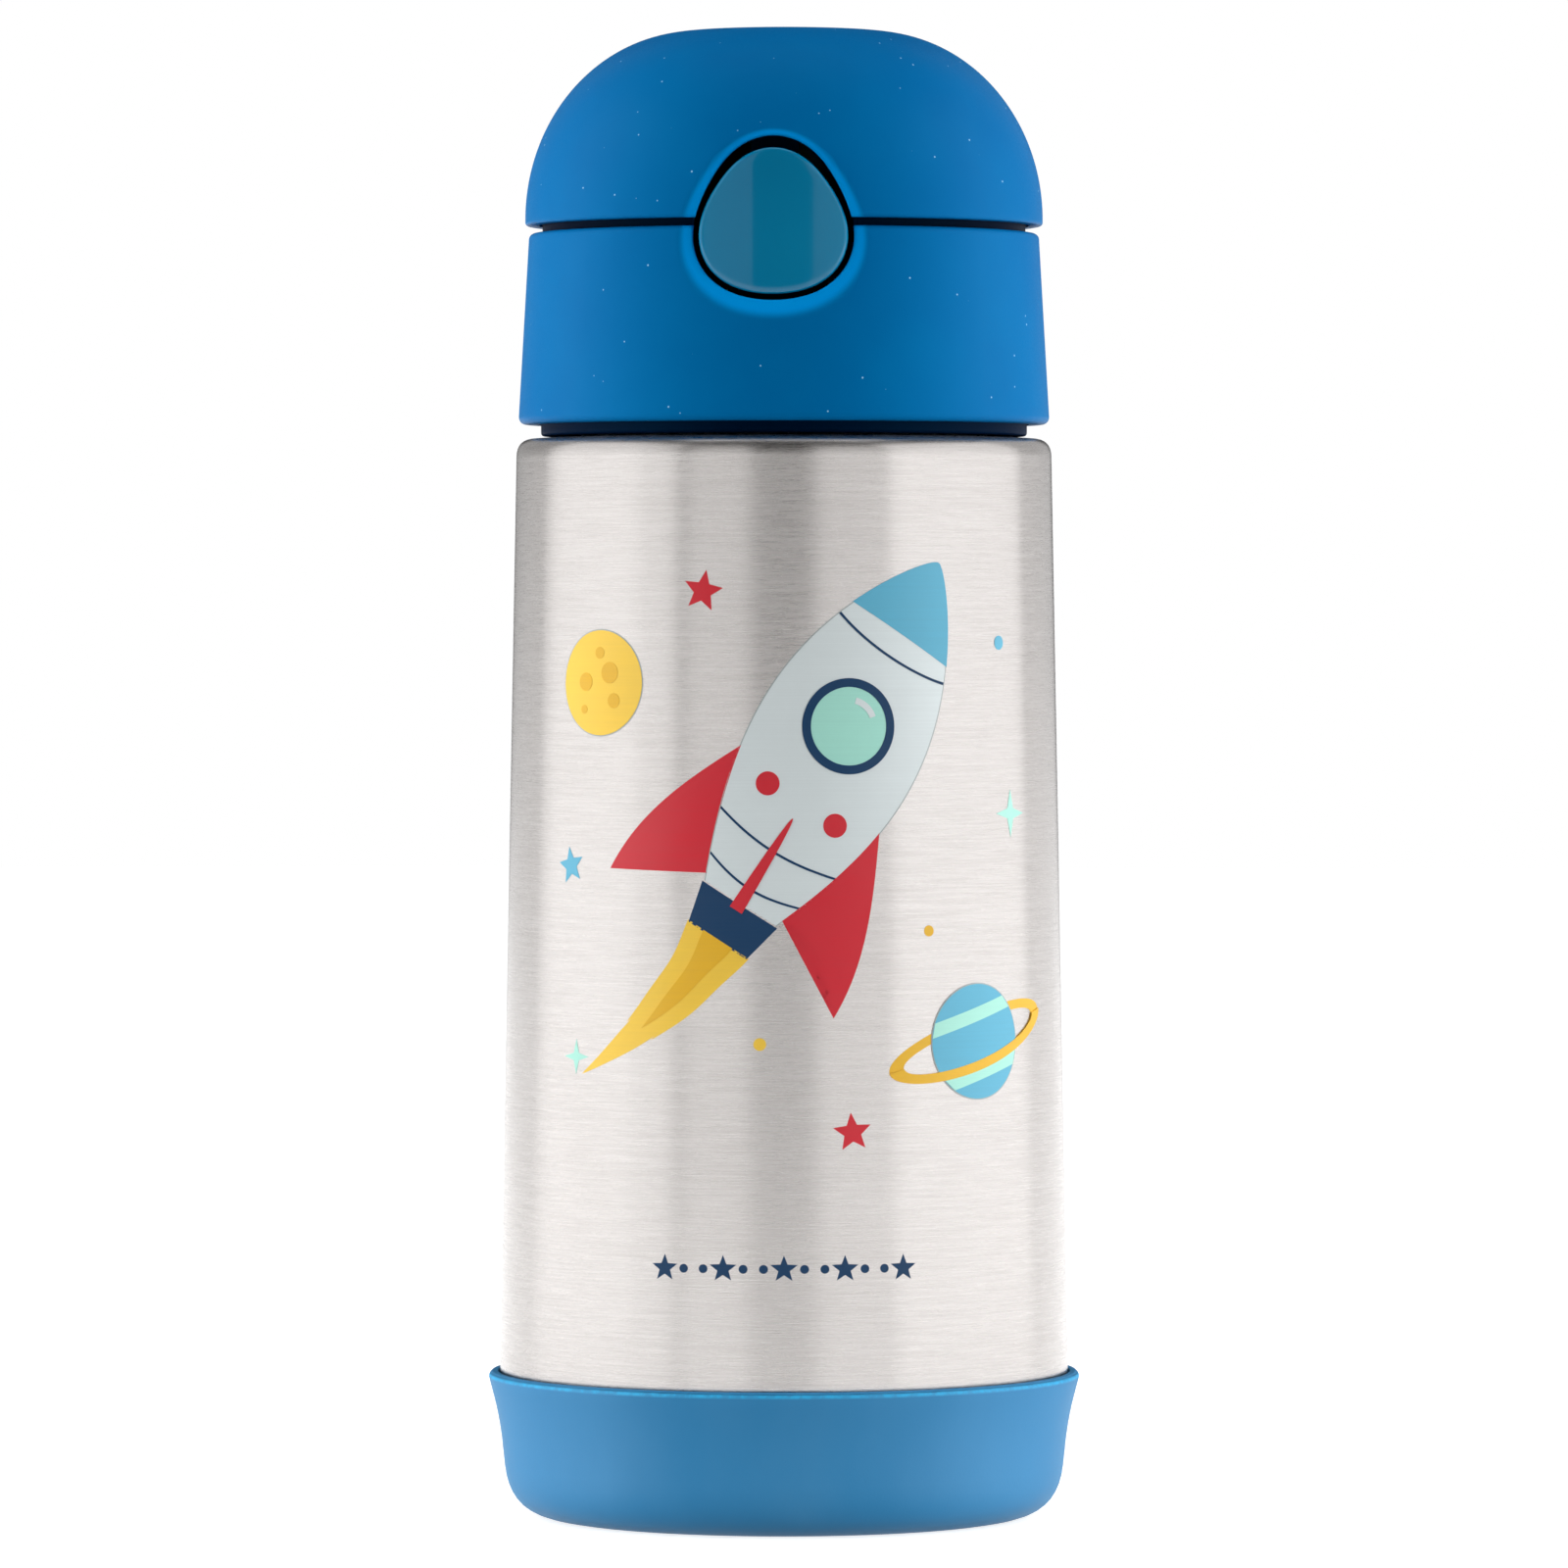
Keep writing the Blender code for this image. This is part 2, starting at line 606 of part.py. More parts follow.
def threaded_insert():
    """Inner half of the lid: threaded skirt, deck and the guide for the button's stem."""
    profile = [
        (INSERT_BORE, SHOULDER_HEIGHT + GAP),
        (INSERT_RADIUS, SHOULDER_HEIGHT + GAP),
        (INSERT_RADIUS, INSERT_TOP),
        (SPIGOT_RADIUS - SPIGOT_WALL, INSERT_TOP),
        (SPIGOT_RADIUS - SPIGOT_WALL, DECK_TOP),
        (0.0, DECK_TOP),
        (0.0, DECK_UNDER),
        (INSERT_BORE, DECK_UNDER),
    ]
    made = turned("threaded_insert", profile, DARK_BLUE_PLASTIC)
    crest = INSERT_BORE - THREAD_HEIGHT + PLAY / 2
    ridge = thread_ridge("insert_thread", INSERT_BORE, crest, lid_thread_foot(), LID_THREAD_TURNS)
    join(made, ridge, *stem_guide())
    cut(
        made,
        well("insert_well"),
        disc("spout_hole", SPOUT_HOLE, (0.0, SPOUT_BACK)),
        disc("vent_hole", VENT_STEM + GAP, (VENT_X, VENT_Y)),
    )
    return made


def disc(name, radius, centre):
    """Cutter that goes through the deck."""
    low, high = DECK_UNDER - GAP, DECK_TOP + GAP
    return turned(name, [(0, low), (radius, low), (radius, high), (0, high)], None, FEW_SIDES, centre)


def nose_tip():
    """Y of the latch's nose, whose corners stay NOSE_INSIDE short of the dome."""
    dome = cap_radius(NOSE_TOP, CAP_WALL) * math.cos(math.pi / SIDES)
    return NOSE_INSIDE - math.sqrt(dome**2 - UPRIGHT_HALF**2)


def upright_front():
    return nose_tip() + NOSE_LENGTH


def upright_back():
    return upright_front() + UPRIGHT_WALL


def stem_end():
    return upright_back() + STEM_LENGTH


def stem_guide():
    """Two rails beside the stem, and the post behind it that the spring pushes on."""
    buried = DECK_TOP - DECK_WALL / 2
    top = stem_floor() + STEM_HEIGHT
    front = upright_back() + BUTTON_TRAVEL + PLAY
    post = stem_end() + COIL_LENGTH + 2 * GAP
    inner = STEM_HALF + PLAY
    outer = inner + GUIDE_WALL
    pieces = [block("spring_post", (-outer, post, buried), (outer, post + GUIDE_WALL, top), None)]
    for side in (-1, 1):
        edges = sorted((side * inner, side * (inner + GUIDE_WALL)))
        low = (edges[0] + SHY, front, buried - SHY)
        high = (edges[1] - SHY, post + GUIDE_WALL / 2, top - SHY)
        pieces.append(block(f"guide_rail_{side + 1}", low, high, None))
    return pieces


def stem_floor():
    return DECK_TOP + PLAY


def neck_gasket():
    mouth = NECK_RADIUS - STEEL_WALL - GAP - STEEL_WALL
    inner = mouth - GASKET_INSIDE
    outer = INSERT_BORE - GAP
    low = GASKET_TOP - GASKET_THICKNESS
    profile = [
        (inner, low),
        *corner_arc(outer, low, GASKET_ROUND, -90, 0, 1),
        *corner_arc(outer, GASKET_TOP, GASKET_ROUND, 0, 90, 1),
        (inner, GASKET_TOP),
    ]
    return turned("neck_gasket", profile, WHITE_SILICONE)


def vent_valve():
    """Mushroom valve that lets air in: a cap over the deck, a stem through it, a bulb below."""
    top, under = DECK_TOP + GAP, DECK_UNDER - GAP
    profile = [
        (0.0, top + VENT_LIP),
        (VENT_RADIUS - VENT_LIP, top + VENT_LIP),
        (VENT_RADIUS, top + VENT_LIP / 3),
        (VENT_RADIUS, top),
        (VENT_STEM, top),
        (VENT_STEM, under),
        (VENT_BULB, under),
        (VENT_STEM / 2, under - VENT_TAIL),
        (0.0, under - VENT_TAIL),
    ]
    return turned("vent_valve", profile, WHITE_SILICONE, FEW_SIDES, (VENT_X, VENT_Y))


def spout_top():
    """Height of the mouthpiece's tip, just under the seal in the cap."""
    return seal_under() - GAP


def seal_under():
    return plate_under() - GAP - SEAL_THICKNESS


def plate_under():
    return NOSE_TOP + PLATE_CLEAR


def mouthpiece():
    """Soft spout: a flange on the deck, the part that is sipped from, and a sleeve that grips the straw."""
    flange = DECK_TOP + GAP
    tip = spout_top()
    sleeve = DECK_UNDER - SLEEVE_LENGTH
    crown = SPOUT_TIP_RADIUS - SPOUT_BORE
    outside = [
        (SLEEVE_BORE, sleeve),
        (SLEEVE_RADIUS, sleeve),
        (SLEEVE_RADIUS, flange),
        (SPOUT_FLANGE, flange),
        *corner_arc(SPOUT_FLANGE, flange + SPOUT_FLANGE_WALL, SPOUT_FLANGE_ROUND, 0, 90, 2),
        (SPOUT_RADIUS, flange + SPOUT_FLANGE_WALL + SPOUT_FLANGE_ROUND),
        *arc(SPOUT_BORE, tip - crown, crown, crown, 0, 90, 4),
    ]
    inside = [
        (SPOUT_BORE, flange + SPOUT_FLANGE_WALL),
        (SLEEVE_BORE, flange),
    ]
    return turned("mouthpiece", outside + inside, CLEAR_SILICONE, SPOUT_SIDES, (0.0, SPOUT_BACK))


def straw():
    bore = STRAW_RADIUS - STRAW_WALL
    low = VESSEL_FOOT + STEEL_WALL + STRAW_CLEAR
    high = DECK_TOP - GAP
    profile = [(bore, low), (STRAW_RADIUS, low), (STRAW_RADIUS, high), (bore, high)]
    return turned("straw", profile, CLEAR_PLASTIC, SPOUT_SIDES, (0.0, SPOUT_BACK))


# Flip cap


def flip_cap():
    rise = CAP_HEIGHT - CAP_SKIRT
    foot = CAP_FOOT + CAP_SKIRT
    outside = [
        (CAP_RADIUS, CAP_FOOT),
        *arc(CAP_FLAT, foot, CAP_RADIUS - CAP_FLAT, rise, 0, 90, 12),
        (0.0, CAP_TOP),
    ]
    inside = [
        (0.0, CAP_TOP - CAP_WALL),
        *arc(CAP_FLAT, foot, CAP_RADIUS - CAP_WALL - CAP_FLAT, rise - CAP_WALL, 90, 0, 9),
        (CAP_RADIUS - CAP_WALL, CAP_FOOT),
    ]
    made = turned("flip_cap", outside + inside, BLUE_PLASTIC)
    for side in (-1, 1):
        join(made, knuckle(f"cap_knuckle_{side + 1}", side))
    join(made, cap_catch())
    cut(made, well("cap_well"), pin_hole("cap_pin_hole"))
    return made


def knuckle(name, side):
    """One of the cap's two outer knuckles, with the arm that carries it."""
    buried = CAP_RADIUS - CAP_WALL + GAP / 2
    outline = [
        *arc(HINGE_Y, HINGE_Z, HINGE_RADIUS, HINGE_RADIUS, 190, 410, 10),
        (buried, HINGE_Z + ARM_RISE),
        (buried, HINGE_Z + GAP),
    ]
    near = side * (SPRING_HALF + LUG_WIDTH + 2 * GAP)
    return slab_x(name, outline, near, near + side * KNUCKLE_WIDTH, None)


def cap_catch():
    """Ledge inside the cap, over the button's opening, that the latch's nose hooks over."""
    front = -cap_radius(CATCH_LOW, CAP_WALL) - CAP_WALL / 3
    low = (-UPRIGHT_HALF, front, CATCH_LOW)
    high = (UPRIGHT_HALF, nose_tip() - NOSE_CLEAR, CATCH_LOW + CATCH_HEIGHT)
    return block("cap_catch", low, high, None)


def cap_plate():
    """Plate inside the cap that carries the seal, with a ring that the seal is pressed into."""
    low = plate_under()
    high = low + CAP_PLATE_WALL
    radius = cap_radius(high, CAP_WALL) - 2 * GAP
    made = turned("cap_plate", [(0.0, low), (radius, low), (radius, high), (0.0, high)], WHITE_SILICONE)
    inner = SEAL_RADIUS + GAP
    outer = inner + SEAL_RING_WALL
    bottom, top = low - SEAL_RING_DEPTH, low + CAP_PLATE_WALL / 2
    ring = [(inner, bottom), (outer, bottom), (outer, top), (inner, top)]
    join(made, turned("seal_ring", ring, None, SPOUT_SIDES, (0.0, SPOUT_BACK)))
    return made


def spout_seal():
    low, high = seal_under(), plate_under() - GAP
    corner = corner_arc(SEAL_RADIUS, low, SEAL_ROUND, -90, 0, 2)
    profile = [(0.0, low), *corner, (SEAL_RADIUS, high), (0.0, high)]
    return turned("spout_seal", profile, WHITE_SILICONE, SPOUT_SIDES, (0.0, SPOUT_BACK))


# Hinge


def hinge_pin():
    reach = SPRING_HALF + LUG_WIDTH + KNUCKLE_WIDTH + GAP
    return rod_x("hinge_pin", PIN_RADIUS, -reach, reach, HINGE_Y, HINGE_Z, PLAIN_STEEL)


def helix(turns, radius, start, end):
    """Points of a coil from start to end, which differ in one direction only: (along, across, across)."""
    steps = turns * COIL_STEPS
    turn = math.tau / COIL_STEPS
    return [
        (start + (end - start) * i / steps, radius * math.cos(turn * i), radius * math.sin(turn * i))
        for i in range(steps + 1)
    ]


def hinge_spring():
    """Torsion spring round the pin: one leg up the cap, the other down the collar."""
    half = SPRING_HALF - HINGE_WIRE
    coil = [(x, HINGE_Y - a, HINGE_Z - b) for x, a, b in helix(HINGE_TURNS, HINGE_COIL, -half, half)]
    up = (-half, coil[0][1], HINGE_Z + HINGE_LEG)
    down = (half, coil[-1][1], HINGE_Z - HINGE_LEG)
    return wire("hinge_spring", [up, *coil, down], HINGE_WIRE, PLAIN_STEEL)


# Push button


def button_face():
    """Glossy face, part of a cylinder, with a rounded edge."""
    flat = [button_outline(lambda t, s=share: -BUTTON_RADIUS * s) for share in (0.65, 0.3)]
    edge = button_outline(lambda t: -BUTTON_ROUND)
    full = button_outline(lambda t: 0.0)
    rings = [
        *[around(ring, lambda z: BUTTON_FACE) for ring in (*flat, edge)],
        around(full, lambda z: BUTTON_FACE - BUTTON_ROUND),
        around(full, lambda z: BUTTON_BACK),
        *[around(ring, lambda z: BUTTON_BACK) for ring in flat[::-1]],
    ]
    return stacked("button_face", rings, TEAL_PLASTIC)


def latch():
    """Slider behind the face: stem in its guide, upright, nose on top, and the pad that carries the face."""
    front, back = upright_front(), upright_back()
    floor = stem_floor()
    high = (UPRIGHT_HALF, back, NOSE_TOP)
    made = block("latch", (-UPRIGHT_HALF, front, floor), high, DARK_BLUE_PLASTIC)
    lap = front + UPRIGHT_WALL / 2
    pad_front = GAP - math.sqrt(BUTTON_BACK**2 - PAD_HALF**2)
    pad_low = BUTTON_Z - PAD_HEIGHT / 2
    nose_half = UPRIGHT_HALF - SHY
    stem_high = (STEM_HALF, stem_end(), floor + STEM_HEIGHT)
    join(
        made,
        block("latch_stem", (-STEM_HALF, lap, floor - SHY), stem_high, None),
        block("latch_nose", (-nose_half, nose_tip(), NOSE_LOW), (nose_half, lap, NOSE_TOP - SHY), None),
        block("latch_pad", (-PAD_HALF, pad_front, pad_low), (PAD_HALF, lap, pad_low + PAD_HEIGHT), None),
    )
    return made


def button_spring():
    start = stem_end() + GAP + COIL_WIRE
    end = start + COIL_LENGTH - 2 * COIL_WIRE
    middle = stem_floor() + STEM_HEIGHT / 2
    coil = [(a, y, middle + b) for y, a, b in helix(COIL_TURNS, COIL_RADIUS, start, end)]
    return wire("button_spring", coil, COIL_WIRE, PLAIN_STEEL)


def main():
    clear_scene()

    for make in (outer_wall, inner_vessel, base_plate, vacuum_seal, getter, boot):
        make()

    lid_axis = pivot("lid_axis", (0.0, 0.0, SHOULDER_HEIGHT))
    for make in (collar_shell, threaded_insert, neck_gasket, vent_valve, mouthpiece, straw, hinge_pin):
        hang(lid_axis, make())
    hang(lid_axis, hinge_spring(), button_spring())

    cap_axis = pivot("cap_axis", (0.0, HINGE_Y, HINGE_Z))
    hang(cap_axis, flip_cap(), cap_plate(), spout_seal())

    button_axis = pivot("button_axis", (0.0, -BUTTON_FACE, BUTTON_Z))
    hang(button_axis, button_face(), latch())


main()
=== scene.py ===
import math

import bmesh
import bpy
import numpy as np
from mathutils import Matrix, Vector


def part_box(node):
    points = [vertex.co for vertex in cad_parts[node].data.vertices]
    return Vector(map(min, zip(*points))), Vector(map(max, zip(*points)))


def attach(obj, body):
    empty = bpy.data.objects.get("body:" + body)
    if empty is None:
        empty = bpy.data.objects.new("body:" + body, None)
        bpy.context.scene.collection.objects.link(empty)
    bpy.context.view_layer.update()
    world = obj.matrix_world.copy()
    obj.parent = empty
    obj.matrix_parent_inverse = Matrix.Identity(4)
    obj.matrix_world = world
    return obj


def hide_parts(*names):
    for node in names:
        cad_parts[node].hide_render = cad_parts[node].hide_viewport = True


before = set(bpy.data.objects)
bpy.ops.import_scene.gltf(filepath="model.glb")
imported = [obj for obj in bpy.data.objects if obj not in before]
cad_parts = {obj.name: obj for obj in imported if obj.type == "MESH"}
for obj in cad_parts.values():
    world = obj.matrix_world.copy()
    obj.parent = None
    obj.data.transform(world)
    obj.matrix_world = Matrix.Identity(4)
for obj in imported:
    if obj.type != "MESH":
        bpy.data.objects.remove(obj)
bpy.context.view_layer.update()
mm = 0.001
tau = math.tau
print("frame loaded:", len(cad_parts), "CAD nodes")


# 0 below 0 and 1 above 1, with a slope that starts and ends level
def ease(x):
    x = np.clip(x, 0.0, 1.0)
    return x * x * (3.0 - 2.0 * x)


# Every corner (across, up, trim) of an outline gives way to a parabola that leaves one side and joins
# the next a trim's length from the corner, with one more point on either side to keep the flats flat.
def roundedOutline(corners, steps=6):
    rows = np.array([(*c, 0.0)[:3] for c in corners], float) * mm
    place, trim = rows[:, :2], rows[:, 2:]
    before, after = np.roll(place, 1, 0) - place, np.roll(place, -1, 0) - place
    before /= np.linalg.norm(before, axis=1, keepdims=True)
    after /= np.linalg.norm(after, axis=1, keepdims=True)
    t = np.linspace(0.0, 1.0, steps + 1)[None, :, None]
    start, end = (place + before * trim)[:, None], (place + after * trim)[:, None]
    curve = (1 - t) ** 2 * start + 2 * t * (1 - t) * place[:, None] + t**2 * end
    held = trim + np.minimum(0.4 * trim, 0.3 * mm)
    parts = [(place + before * held)[:, None], curve, (place + after * held)[:, None]]
    return np.concatenate(parts, 1).reshape(-1, 2)


# The same line with points added wherever two neighbours are further apart than the given step
def refine(line, step, closed=True):
    ends = np.roll(line, -1, 0) if closed else line[1:]
    starts = line if closed else line[:-1]
    counts = np.maximum(1, np.ceil(np.linalg.norm(ends - starts, axis=1) / step)).astype(int)
    share = np.concatenate([np.arange(n) / n for n in counts])[:, None]
    made = np.repeat(starts, counts, 0) + np.repeat(ends - starts, counts, 0) * share
    return made if closed else np.vstack([made, line[-1:]])


# Corner numbers of the quads of a grid of rows and columns, joined end to end where it wraps
def gridFaces(rows, columns, wrapRows, wrapColumns):
    i = np.arange(rows - (not wrapRows))[:, None]
    j = np.arange(columns - (not wrapColumns))[None, :]
    i2, j2 = (i + 1) % rows, (j + 1) % columns
    quads = np.stack([i * columns + j, i2 * columns + j, i2 * columns + j2, i * columns + j2], -1)
    return quads.reshape(-1, 4)


# (radius, height) points carried round an upright axis: x = radius cos(angle), y = radius sin(angle)
def revolve(profile, sides=128, centre=(0.0, 0.0), closed=True):
    angle = np.arange(sides)[:, None] * tau / sides
    r, z = profile[None, :, 0], profile[None, :, 1]
    x, y = centre[0] * mm + r * np.cos(angle), centre[1] * mm + r * np.sin(angle)
    points = np.stack([x, y, np.broadcast_to(z, x.shape)], -1)
    return points.reshape(-1, 3), gridFaces(sides, len(profile), True, closed)


# The same about a line along X, at a place across: the radius turns in the YZ plane
def revolveX(profile, place, sides=48):
    points, faces = revolve(profile, sides, closed=False)
    return np.stack([points[:, 2], place[0] + points[:, 0], place[1] + points[:, 1]], -1), faces


# A round section carried along a path. Each ring lies across the path's way there, one of its two
# directions being the part of "outward" that is square to the way. The ends narrow to a point.
def sweepWire(path, outward, radius, sides=12):
    way = np.gradient(path, axis=0)
    way /= np.linalg.norm(way, axis=1, keepdims=True)
    side = outward - (outward * way).sum(1, keepdims=True) * way
    side /= np.linalg.norm(side, axis=1, keepdims=True)
    other = np.cross(way, side)
    path, side, other = (np.vstack([a[:1], a, a[-1:]]) for a in (path, side, other))
    size = np.full(len(path), radius)
    size[[0, -1]] = 0.0
    turn = np.arange(sides) * tau / sides
    ring = side[:, None] * np.cos(turn)[None, :, None] + other[:, None] * np.sin(turn)[None, :, None]
    points = path[:, None] + ring * size[:, None, None]
    return points.reshape(-1, 3), gridFaces(len(path), sides, False, True)


# A closed flat outline carried from low to high, its end edges rolled in on a quarter circle.
# axes gives the places of (across, up, along) in x, y, z.
def extrude(outline, low, high, edge, axes=(0, 1, 2), steps=3):
    low, high, edge = low * mm, high * mm, edge * mm
    way = np.roll(outline, -1, 0) - np.roll(outline, 1, 0)
    way /= np.linalg.norm(way, axis=1, keepdims=True)
    inward = np.stack([-way[:, 1], way[:, 0]], -1)
    x, y = outline.T
    if (x * np.roll(y, -1) - np.roll(x, -1) * y).sum() < 0:
        inward = -inward
    turn = np.linspace(0.0, math.pi / 2, steps + 1)
    sink = edge * (1 - np.sin(turn))
    rise = edge * (1 - np.cos(turn))
    inset = np.concatenate([sink, sink[::-1]])
    level = np.concatenate([low + rise, high - rise[::-1]])
    flat = outline[None] + inward[None] * inset[:, None, None]
    along = np.broadcast_to(level[:, None, None], (*flat.shape[:2], 1))
    points = np.concatenate([flat, along], -1).reshape(-1, 3)
    placed = np.empty_like(points)
    placed[:, list(axes)] = points
    count = len(outline)
    faces = gridFaces(len(level), count, False, True).tolist()
    faces.append(list(range(count)))
    faces.append(list(range(len(points) - count, len(points))))
    return placed, faces


# Puts one or more closed skins into one mesh object, merged where they meet, faces outwards
def makePiece(name, skins, body, replaces=(), sharp=38.0, uv=None):
    points, faces, first = [], [], 0
    for skinPoints, skinFaces in skins:
        points.append(skinPoints)
        plain = skinFaces.tolist() if hasattr(skinFaces, "tolist") else skinFaces
        faces += [[i + first for i in face] for face in plain]
        first += len(skinPoints)
    mesh = bpy.data.meshes.new(name)
    mesh.from_pydata(np.concatenate(points), [], faces)
    if uv is not None:
        mesh.uv_layers.new(name="UVMap").data.foreach_set("uv", uv.ravel())
    bm = bmesh.new()
    bm.from_mesh(mesh)
    bmesh.ops.remove_doubles(bm, verts=bm.verts, dist=0.0005 * mm)
    bmesh.ops.dissolve_degenerate(bm, edges=bm.edges, dist=0.0001 * mm)
    bmesh.ops.recalc_face_normals(bm, faces=bm.faces)
    bm.to_mesh(mesh)
    bm.free()
    mesh.shade_smooth()
    mesh.set_sharp_from_angle(angle=math.radians(sharp))
    made = bpy.data.objects.new(name, mesh)
    bpy.context.scene.collection.objects.link(made)
    if body:
        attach(made, body)
        if replaces:
            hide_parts(*replaces)
    return made


# Cuts or fuses with exact Booleans, keeps the result as the piece's own mesh and removes the tools
def shapeWith(made, tools, operation, sharp=38.0):
    for tool in tools:
        modifier = made.modifiers.new(operation.lower(), "BOOLEAN")
        modifier.operation = operation
        modifier.solver = "EXACT"
        modifier.object = tool
    bpy.context.view_layer.update()
    seen = made.evaluated_get(bpy.context.evaluated_depsgraph_get())
    mesh = bpy.data.meshes.new_from_object(seen)
    made.modifiers.clear()
    made.data = mesh
    mesh.shade_smooth()
    mesh.set_sharp_from_angle(angle=math.radians(sharp))
    for tool in tools:
        bpy.data.objects.remove(tool, do_unlink=True)
    return made


# The places of a piece's points, in metres
def pointsOf(made):
    flat = np.empty(len(made.data.vertices) * 3)
    made.data.vertices.foreach_get("co", flat)
    return flat.reshape(-1, 3)


# One number for each point of a piece, which a finish can read by name
def carry(made, name, values):
    made.data.attributes.new(name, "FLOAT", "POINT").data.foreach_set("value", values.astype(np.float32))


class Finish:
    def __init__(self, name, roughness, metallic=0.0, **sockets):
        self.material = bpy.data.materials.new(name)
        self.material.use_nodes = True
        self.tree = self.material.node_tree
        self.shader = self.tree.nodes["Principled BSDF"]
        self.shader.inputs["Roughness"].default_value = roughness
        self.shader.inputs["Metallic"].default_value = metallic
        for key, value in sockets.items():
            self.shader.inputs[key.replace("_", " ")].default_value = value
        self.place = self.add("ShaderNodeTexCoord").outputs["Object"]

    def add(self, kind, **settings):
        node = self.tree.nodes.new(kind)
        for key, value in settings.items():
            if key in node.inputs:
                node.inputs[key].default_value = value
            else:
                setattr(node, key, value)
        return node

    def link(self, source, target):
        self.tree.links.new(source, target)
        return target

    # Noise on the object's own coordinates, stretched by a scale for each axis, in cycles a metre
    def noise(self, scale, detail=3.0, rough=0.55):
        mapping = self.add("ShaderNodeMapping")
        mapping.inputs["Scale"].default_value = scale if hasattr(scale, "__len__") else (scale,) * 3
        self.link(self.place, mapping.inputs["Vector"])
        node = self.add("ShaderNodeTexNoise", Scale=1.0, Detail=detail, Roughness=rough, Distortion=0.0)
        self.link(mapping.outputs["Vector"], node.inputs["Vector"])
        return node.outputs["Fac"]

    def ranged(self, value, low, high, fromLow=0.3, fromHigh=0.7):
        node = self.add("ShaderNodeMapRange")
        ends = {"From Min": fromLow, "From Max": fromHigh, "To Min": low, "To Max": high}
        for key, number in ends.items():
            node.inputs[key].default_value = number
        self.link(value, node.inputs["Value"])
        return node.outputs["Result"]

    def blend(self, factor, first, second):
        node = self.add("ShaderNodeMix", data_type="RGBA")
        self.link(factor, node.inputs[0])
        for socket, colour in ((node.inputs[6], first), (node.inputs[7], second)):
            if isinstance(colour, tuple):
                socket.default_value = (*colour, 1.0)
            else:
                self.link(colour, socket)
        return node.outputs[2]

    def times(self, first, second):
        node = self.add("ShaderNodeMath", operation="MULTIPLY")
        self.link(first, node.inputs[0])
        self.link(second, node.inputs[1])
        return node.outputs["Value"]

    # What a piece's points carry under a name
    def carried(self, name):
        return self.add("ShaderNodeAttribute", attribute_name=name).outputs["Fac"]

    def bump(self, height, depth, strength=1.0, after=None):
        node = self.add("ShaderNodeBump", Strength=strength, Distance=depth * mm)
        self.link(height, node.inputs["Height"])
        if after is not None:
            self.link(after, node.inputs["Normal"])
        return node.outputs["Normal"]

    # Small separate specks: cells whose own random value is near 1, close to the cell's middle
    def specks(self, scale, rare, size):
        node = self.add("ShaderNodeTexVoronoi", Scale=scale, Randomness=1.0)
        self.link(self.place, node.inputs["Vector"])
        near = self.ranged(node.outputs["Distance"], 1.0, 0.0, size * 0.6, size)
        pick = self.add("ShaderNodeSeparateColor")
        self.link(node.outputs["Color"], pick.inputs["Color"])
        return self.times(near, self.ranged(pick.outputs["Red"], 0.0, 1.0, rare, rare + 0.01))

    def colour(self, source):
        self.link(source, self.shader.inputs["Base Color"])
        return self

    def rough(self, source):
        self.link(source, self.shader.inputs["Roughness"])
        return self

    def normal(self, source):
        self.link(source, self.shader.inputs["Normal"])
        return self

    def on(self, *pieces):
        for made in pieces:
            made.data.materials.clear()
            made.data.materials.append(self.material)
        return self


steelLook = dict(light=(0.70, 0.668, 0.653), dark=(0.61, 0.578, 0.562), rough=(0.23, 0.34), brushDepth=0.004)


# Fine brushing round the body: noise stretched long around and packed tight upwards
def steelFinish():
    f = Finish("brushedSteel", 0.28, 1.0, Anisotropic=0.75, Anisotropic_Rotation=0.25)
    fine = f.noise((240, 240, 9000), 4.0, 0.7)
    long = f.noise((110, 110, 5200), 3.0, 0.65)
    cloud = f.noise((70, 70, 45), 3.0, 0.6)
    tone = f.blend(f.ranged(long, 0.0, 1.0, 0.35, 0.65), steelLook["dark"], steelLook["light"])
    f.colour(f.blend(f.ranged(cloud, 0.0, 0.35), tone, steelLook["light"]))
    f.rough(f.ranged(fine, *steelLook["rough"]))
    f.normal(f.bump(fine, steelLook["brushDepth"]))
    tangent = f.add("ShaderNodeTangent", direction_type="UV_MAP")
    tangent.uv_map = "UVMap"
    f.link(tangent.outputs["Tangent"], f.shader.inputs["Tangent"])
    return f


def plainSteelFinish():
    f = Finish("brightSteel", 0.2, 1.0)
    turned = f.noise((200, 200, 4000), 3.0)
    f.colour(f.blend(turned, (0.62, 0.62, 0.62), (0.74, 0.73, 0.72)))
    f.rough(f.ranged(turned, 0.16, 0.28)).normal(f.bump(turned, 0.004))
    return f


# Moulded polypropylene: spark-eroded grain, slow tone changes and a few specks of dust. With a highlight
# colour, what the points carry as "lip" is a painted highlight on the edge round the well, and "shade" is
# painted shade, near black, on what lies behind it.
def mouldedFinish(name, deep, pale, roughness, sheen, grain=0.012, dust=0.0, paintedHighlight=None):
    f = Finish(name, roughness, 0.0, Specular_IOR_Level=0.03, Specular_Tint=sheen)
    grainNoise = f.noise(5200, 2.0, 0.5)
    slow = f.noise(38, 3.0, 0.6)
    tone = f.blend(f.ranged(slow, 0.0, 1.0), deep, pale)
    if dust:
        tone = f.blend(f.specks(700, 1 - dust, 0.10), tone, (0.30, 0.55, 0.75))
    if paintedHighlight:
        # painted highlight: the "lip" band round the well takes the lighter colour
        tone = f.blend(f.carried("lip"), tone, paintedHighlight)
        # painted shade: the well's wall and the spigot, where shade falls, turn near black
        tone = f.blend(f.carried("shade"), tone, (0.0, 0.004, 0.02))
    f.colour(tone)
    f.rough(f.ranged(grainNoise, roughness - 0.06, roughness + 0.06))
    f.normal(f.bump(grainNoise, grain, after=f.bump(slow, 0.05, 0.3)))
    return f


